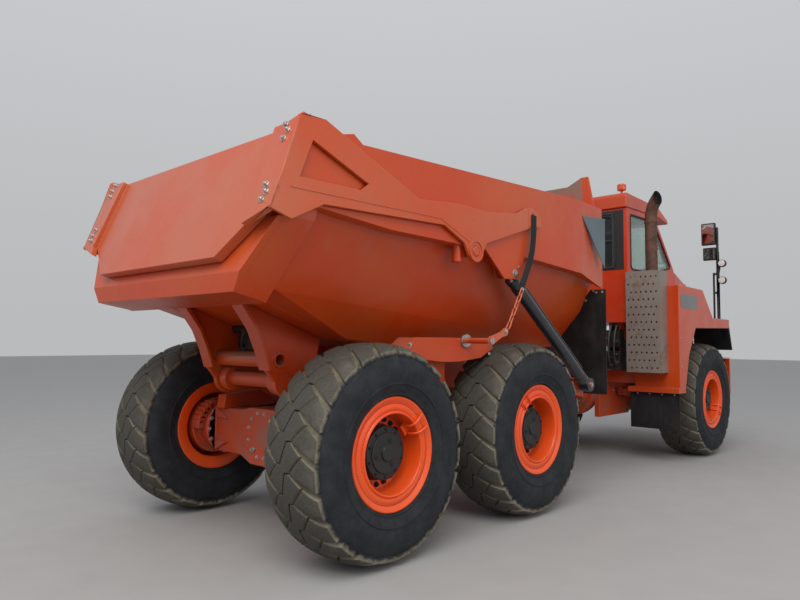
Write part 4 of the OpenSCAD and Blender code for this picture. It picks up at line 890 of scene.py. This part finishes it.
# Cab. A welded cab with a grab roof. Panes are bedded in black rubber, the rear one has a steel
# guard, and the inside is lined in charcoal plastic.
dress("cab_roof", hull_orange, 0.012, 3)
cab_red, shader, place = blank("cab_red", Coat_Weight=0.4, Coat_Roughness=0.15)
part = split(place)
colour = tint(rise(noise(place, 1.1, 5), 0.35, 0.7), (0.56, 0.036, 0.006), (0.6, 0.055, 0.012))
cloud = noise(place, 5, 6, 0.6)
dirt = times(rise(part["Z"], 2.3, 1.8), rise(cloud, 0.4, 0.7, 0.35))
colour = tint(dirt, colour, (0.22, 0.12, 0.09))
# the lining fills what lies inside the walls, behind the screen and above the floor
SCREEN_LEAN = 0.9239
SCREEN = REAR_AXLE + 6.56 + 2.636 * SCREEN_LEAN
lined = rise(calc("ABSOLUTE", part["Y"]), 0.79, 0.785)
lined = times(lined, rise(part["X"], REAR_AXLE + 5.022, REAR_AXLE + 5.03))
slant = calc("ADD", part["X"], times(part["Z"], SCREEN_LEAN))
lined = times(lined, rise(slant, SCREEN - 0.02, SCREEN - 0.03))
lined = times(lined, rise(part["Z"], 1.84, 1.85))
feed(shader, Base_Color=tint(lined, colour, (0.035, 0.036, 0.038)), Roughness=rise(cloud, 0.2, 0.8, 0.5, 0.3),
     Normal=bump(noise(place, 2.5, 2), 0.08, 0.02))
dress("cab_shell cab_door", cab_red, 0.004)
pane_glass, shader, place = blank("pane_glass", Transmission_Weight=0.82, IOR=1.45, Roughness=0.04)
clear = tint(rise(noise(place, 6, 6, 0.7), 0.4, 0.8), (0.72, 0.88, 0.83), (0.62, 0.74, 0.7))
# The rear pane is tinted near black: painted shade of the dim cab seen through it.
rear_pane_shade = rise(split(place)["X"], REAR_AXLE + 5.06, REAR_AXLE + 5.04)
feed(shader, Base_Color=tint(rear_pane_shade, clear, (0.05, 0.065, 0.07)))
dress("cab_glass door_glass", pane_glass, 0.001)
guard_grey = paint("guard_grey", (0.03, 0.031, 0.033), (0.05, 0.05, 0.05), rough=0.45, dust=0.3, mud=0)
dress("window_guard", guard_grey, 0.002)
PANE_Y, REAR_PANE_X = 0.8215, 4.998


def pane_seal(bm, corners):
    """A rubber bead round a pane."""
    corners = [located(c) for c in corners]
    dense = []
    for p, q in zip(corners, corners[1:] + corners[:1]):
        dense += [p + (q - p) * t for t in (0.06, 0.5, 0.94)]
    hose(bm, dense + [dense[0]], 0.01, 8)


bm = bmesh.new()
for y, outline in ((-PANE_Y, ((5.11, 2.53), (5.7, 2.53), (5.7, 3.265), (5.11, 3.265))),
                   (-PANE_Y, ((5.76, 2.53), (6.46, 2.646), (5.95, 3.18), (5.76, 3.24))),
                   (PANE_Y, ((6.03, 2.55), (6.44, 2.656), (6.03, 3.1)))):
    pane_seal(bm, [(x, y, z) for x, z in outline])
rear_pane = ((-0.64, 2.59), (0.64, 2.59), (0.64, 3.25), (-0.64, 3.25))
pane_seal(bm, [(REAR_PANE_X, y, z) for y, z in rear_pane])
inner = [(-0.62, 2.605), (0.62, 2.605), (0.62, 3.232), (-0.62, 3.232)]
outer = [(-0.775, 2.52), (0.775, 2.52), (0.775, 3.318), (-0.775, 3.318)]
border(bm, outer, inner, REAR_AXLE + 4.9965, REAR_AXLE + 5.001, "yz")
piece("pane_seals", bm, trim_black, "front_frame", 0)
bm = bmesh.new()
outline = ((5.2, 2.4), (5.87, 2.4), (5.87, 3.08), (5.77, 3.195), (5.2, 3.195))
pane_seal(bm, [(x, PANE_Y, z) for x, z in outline])
block(bm, (5.8, 0.819, 2.26), (5.91, 0.832, 2.33))
path = [(5.82, 0.83, 2.3), (5.82, 0.862, 2.3), (5.89, 0.862, 2.3), (5.89, 0.83, 2.3)]
hose(bm, curve_through(path, 4), 0.008, 8)
piece("door_seal_and_handle", bm, trim_black, "door", 0)
# wiper on the windscreen
bm = bmesh.new()
base, tip = from_axle(6.545, 0.1, 2.69), from_axle(6.1, -0.28, 3.17)
out = Vector((0.735, 0, 0.679))
hose(bm, [base, base + out * 0.02, tip + out * 0.02], 0.008, 8)
half_blade = (tip - base).normalized() * 0.22
middle = base + (tip - base) * 0.72 + out * 0.008
hose(bm, [middle - half_blade, middle + half_blade], 0.01, 6)
piece("wiper", bm, trim_black, "front_frame", 0)

# Seat and dashboard. A driver's seat with foam cushions in dark woven cloth on a moulded base, and a
# dashboard of grained plastic with the steering wheel.
dress("dashboard", trim_black, 0.01, 3)
seat_cloth, shader, place = blank("seat_cloth", Roughness=0.9, Sheen_Weight=0.3)
weave = add(place.id_data, "TexChecker", {"Vector": place, "Scale": 260.0, "Color1": (0.03, 0.03, 0.034),
                                          "Color2": (0.055, 0.055, 0.06)}).outputs
feed(shader, Base_Color=weave["Color"], Normal=bump(weave["Fac"], 0.3, 0.001))


def cushion(name, low, high, lean=0.0):
    """A crowned cushion with rounded corners and a sewn seam round its middle."""
    low, high = located(low), located(high)
    mid, half = (low + high) / 2, (high - low) / 2
    bm = bmesh.new()
    bmesh.ops.create_cube(bm, size=2)
    bmesh.ops.subdivide_edges(bm, edges=bm.edges[:], cuts=14, use_grid_fill=True)
    for v in bm.verts:
        x, y, z = v.co
        edge = 1 - max(abs(x), abs(y)) ** 6 * 0.28
        pull = 1 - 0.05 * (1 - abs(x)) * (abs(y) > 0.99) - 0.05 * (1 - abs(y)) * (abs(x) > 0.99)
        v.co = Vector((x * half.x * pull, y * half.y * pull, z * half.z * edge))
        if abs(z) < 0.08 and max(abs(x), abs(y)) > 0.99:
            v.co.x *= 0.975
            v.co.y *= 0.985
        v.co.x += lean * v.co.z
        v.co += mid
    thing = piece(name, bm, seat_cloth, "front_frame", 0)
    smooth = thing.modifiers.new("round", "SUBSURF")
    smooth.levels = smooth.render_levels = 1


bm = bmesh.new()
block(bm, (5.3, -0.2, 1.8705), (5.7, 0.2, 2.02))
block(bm, (5.34, -0.17, 2.015), (5.66, 0.17, 2.1))
block(bm, (5.27, -0.24, 2.095), (5.74, 0.24, 2.155))
seat_base = piece("seat_base", bm, trim_black, "front_frame", 0.01, 3)
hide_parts("seat")
cushion("seat_cushion", (5.26, -0.25, 2.15), (5.76, 0.25, 2.28))
cushion("seat_back", (5.21, -0.235, 2.285), (5.33, 0.235, 2.945), lean=-0.13)

# Guards over the front wheels. Box-shaped steel guards. The right one holds the oil tank, with a filler cap
# on top and a bare grey plate on its side. Rubber sheets hang below the ledges.
dress("guard_right guard_left", hull_orange, 0.008, 3)
patch_grey = paint("patch_grey", (0.16, 0.165, 0.17), (0.2, 0.2, 0.2), rough=0.4, dust=0.2, mud=0)
bm = bmesh.new()
slab(bm, in_frame([(5.22, 2.0), (5.8, 1.995), (5.78, 2.18), (5.22, 2.185)]), -1.4225, -1.4195)
piece("side_plate_grey", bm, patch_grey, "front_frame", 0.0008)
bm = bmesh.new()
rod(bm, (6.02, -1.12, 2.24), (6.02, -1.12, 2.33), 0.055, 32)
rod(bm, (6.02, -1.12, 2.325), (6.02, -1.12, 2.365), 0.075, 12, 0.068)
piece("filler_cap", bm, hull_orange, "front_frame", 0.003)
seats = [((5.165, 0.86 + 0.16 * k, 0.9), (0, 0, -1), 0.01) for k in range(4)]
seats += [((5.2, 1.42, z), LEFT, 0.01) for z in (1.25, 1.62)]
bolts("guard_bolts", "front_frame", seats)

# Exhaust and heat shield. A steel silencer and pipe baked brown by heat, strapped behind a shield of
# perforated sheet that keeps hands off it.
rust_brown, shader, place = blank("rust_brown", Metallic=0.35)
cloud = noise(place, 9, 8, 0.7)
feed(shader, Base_Color=tint(rise(cloud, 0.3, 0.7), (0.17, 0.075, 0.045), (0.075, 0.048, 0.04)),
     Roughness=rise(cloud, 0.3, 0.7, 0.85, 0.6), Normal=bump(noise(place, 80, 5), 0.25, 0.003))
PIPE_X, PIPE_Y, PIPE_R, PIPE_SIDES = 5.225, -1.05, 0.077, 40
bend = [(0, 0, 2.2915), (0, 0, 3.18), (-0.001, -0.004, 3.24), (-0.006, -0.017, 3.3), (-0.016, -0.04, 3.355),
        (-0.031, -0.076, 3.405), (-0.046, -0.112, 3.447)]
bend = [from_axle(x + PIPE_X, y + PIPE_Y, z) for x, y, z in bend]
outlet = bend[-1]
way = (outlet - bend[-2]).normalized()
slant = Vector((-0.35, -0.9, 0.16)).normalized()


def cut_slanting(p):
    """Moves a point of the outlet along the pipe onto the slanted cut."""
    return p + way * (outlet - p).dot(slant) / way.dot(slant)


bm = bmesh.new()
rod(bm, (5.045, PIPE_Y, 1.26), (5.045, PIPE_Y, 2.44), 0.085, 48)
rod(bm, (5.045, PIPE_Y, 2.4), (PIPE_X, PIPE_Y, 2.4), 0.055, 32)
end_cap = hose(bm, bend, PIPE_R, PIPE_SIDES)
rim = list(end_cap.verts)
bmesh.ops.delete(bm, geom=[end_cap], context="FACES_ONLY")
for v in rim:
    v.co = cut_slanting(v.co)
pipe = piece("exhaust_pipe", bm, rust_brown, "front_frame", 0)
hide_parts("exhaust")
bm = bmesh.new()
for z in (2.36, 3.13):
    rod(bm, (PIPE_X, PIPE_Y, z), (PIPE_X, PIPE_Y, z + 0.035), 0.0825, 40)
piece("exhaust_clamps", bm, rust_brown, "front_frame", 0.001)
# wall of the outlet and the sooty bore inside it
soot, shader, place = blank("soot", Roughness=0.95)
feed(shader, Base_Color=tint(noise(place, 14), (0.004, 0.004, 0.004), (0.012, 0.011, 0.01)))
side = way.orthogonal().normalized()
across = way.cross(side)
bm = bmesh.new()
rings = []
for r, depth in ((0.0772, -0.004), (0.0772, 0.001), (0.0725, 0.001), (0.0715, -0.06)):
    ring = [cut_slanting(outlet + side * c + across * s) + way * depth for c, s in circle(PIPE_SIDES, r)]
    rings.append([bm.verts.new(p) for p in ring])
join_rings(bm, rings)
bm.faces.new(rings[-1])
piece("exhaust_bore", bm, soot, "front_frame", 0)
shield_grey, shader, place = blank("shield_grey", Metallic=0.5)
cloud = noise(place, 5, 7, 0.65)
feed(shader, Base_Color=tint(rise(cloud, 0.5, 0.72), (0.3, 0.27, 0.24), (0.22, 0.14, 0.1)),
     Roughness=rise(cloud, 0.3, 0.7, 0.7, 0.45))
dress("heat_shield", shield_grey, 0.001)

# Mirrors, lamps, beacon and rails. Two mirrors and two work lamps on a double post each side, an amber
# beacon on a stem, and tubular rails round the left guard.
dress("mirrors", trim_black, 0.012, 3)
dress("handrails", trim_black, 0.002)
mirror_glass, shader, place = blank("mirror_glass", Metallic=1.0, Roughness=0.06)
feed(shader, Base_Color=tint(noise(place, 8), (0.42, 0.45, 0.47), (0.52, 0.54, 0.55)))
bm = bmesh.new()
for inward, low, high in ((1.098, 3.04, 3.33), (1.118, 2.81, 2.96)):
    outline = [(inward, low), (1.262, low), (1.262, high), (inward, high)]
    slab(bm, outline, REAR_AXLE + 6.9875, REAR_AXLE + 6.991, "yz")
mirrored(bm)
piece("mirror_faces", bm, mirror_glass, "front_frame", 0.0008)
bm = bmesh.new()
for z in (2.48, 2.73):
    rod(bm, (7.03, 1.37, z), (7.042, 1.37, z), 0.047, 32, 0.04)
    rod(bm, (6.948, 1.37, z), (6.96, 1.37, z), 0.04, 32, 0.047)
mirrored(bm)
piece("work_lamp_lenses", bm, lens, "front_frame", 0.001)
amber, shader, place = blank("amber_lens", Roughness=0.12, Transmission_Weight=0.35, Coat_Weight=0.8)
feed(shader, Base_Color=tint(ribs(place, 30.0, "Z"), (0.74, 0.075, 0.012), (0.85, 0.13, 0.02)))
dress("beacon", amber, 0.018, 4)
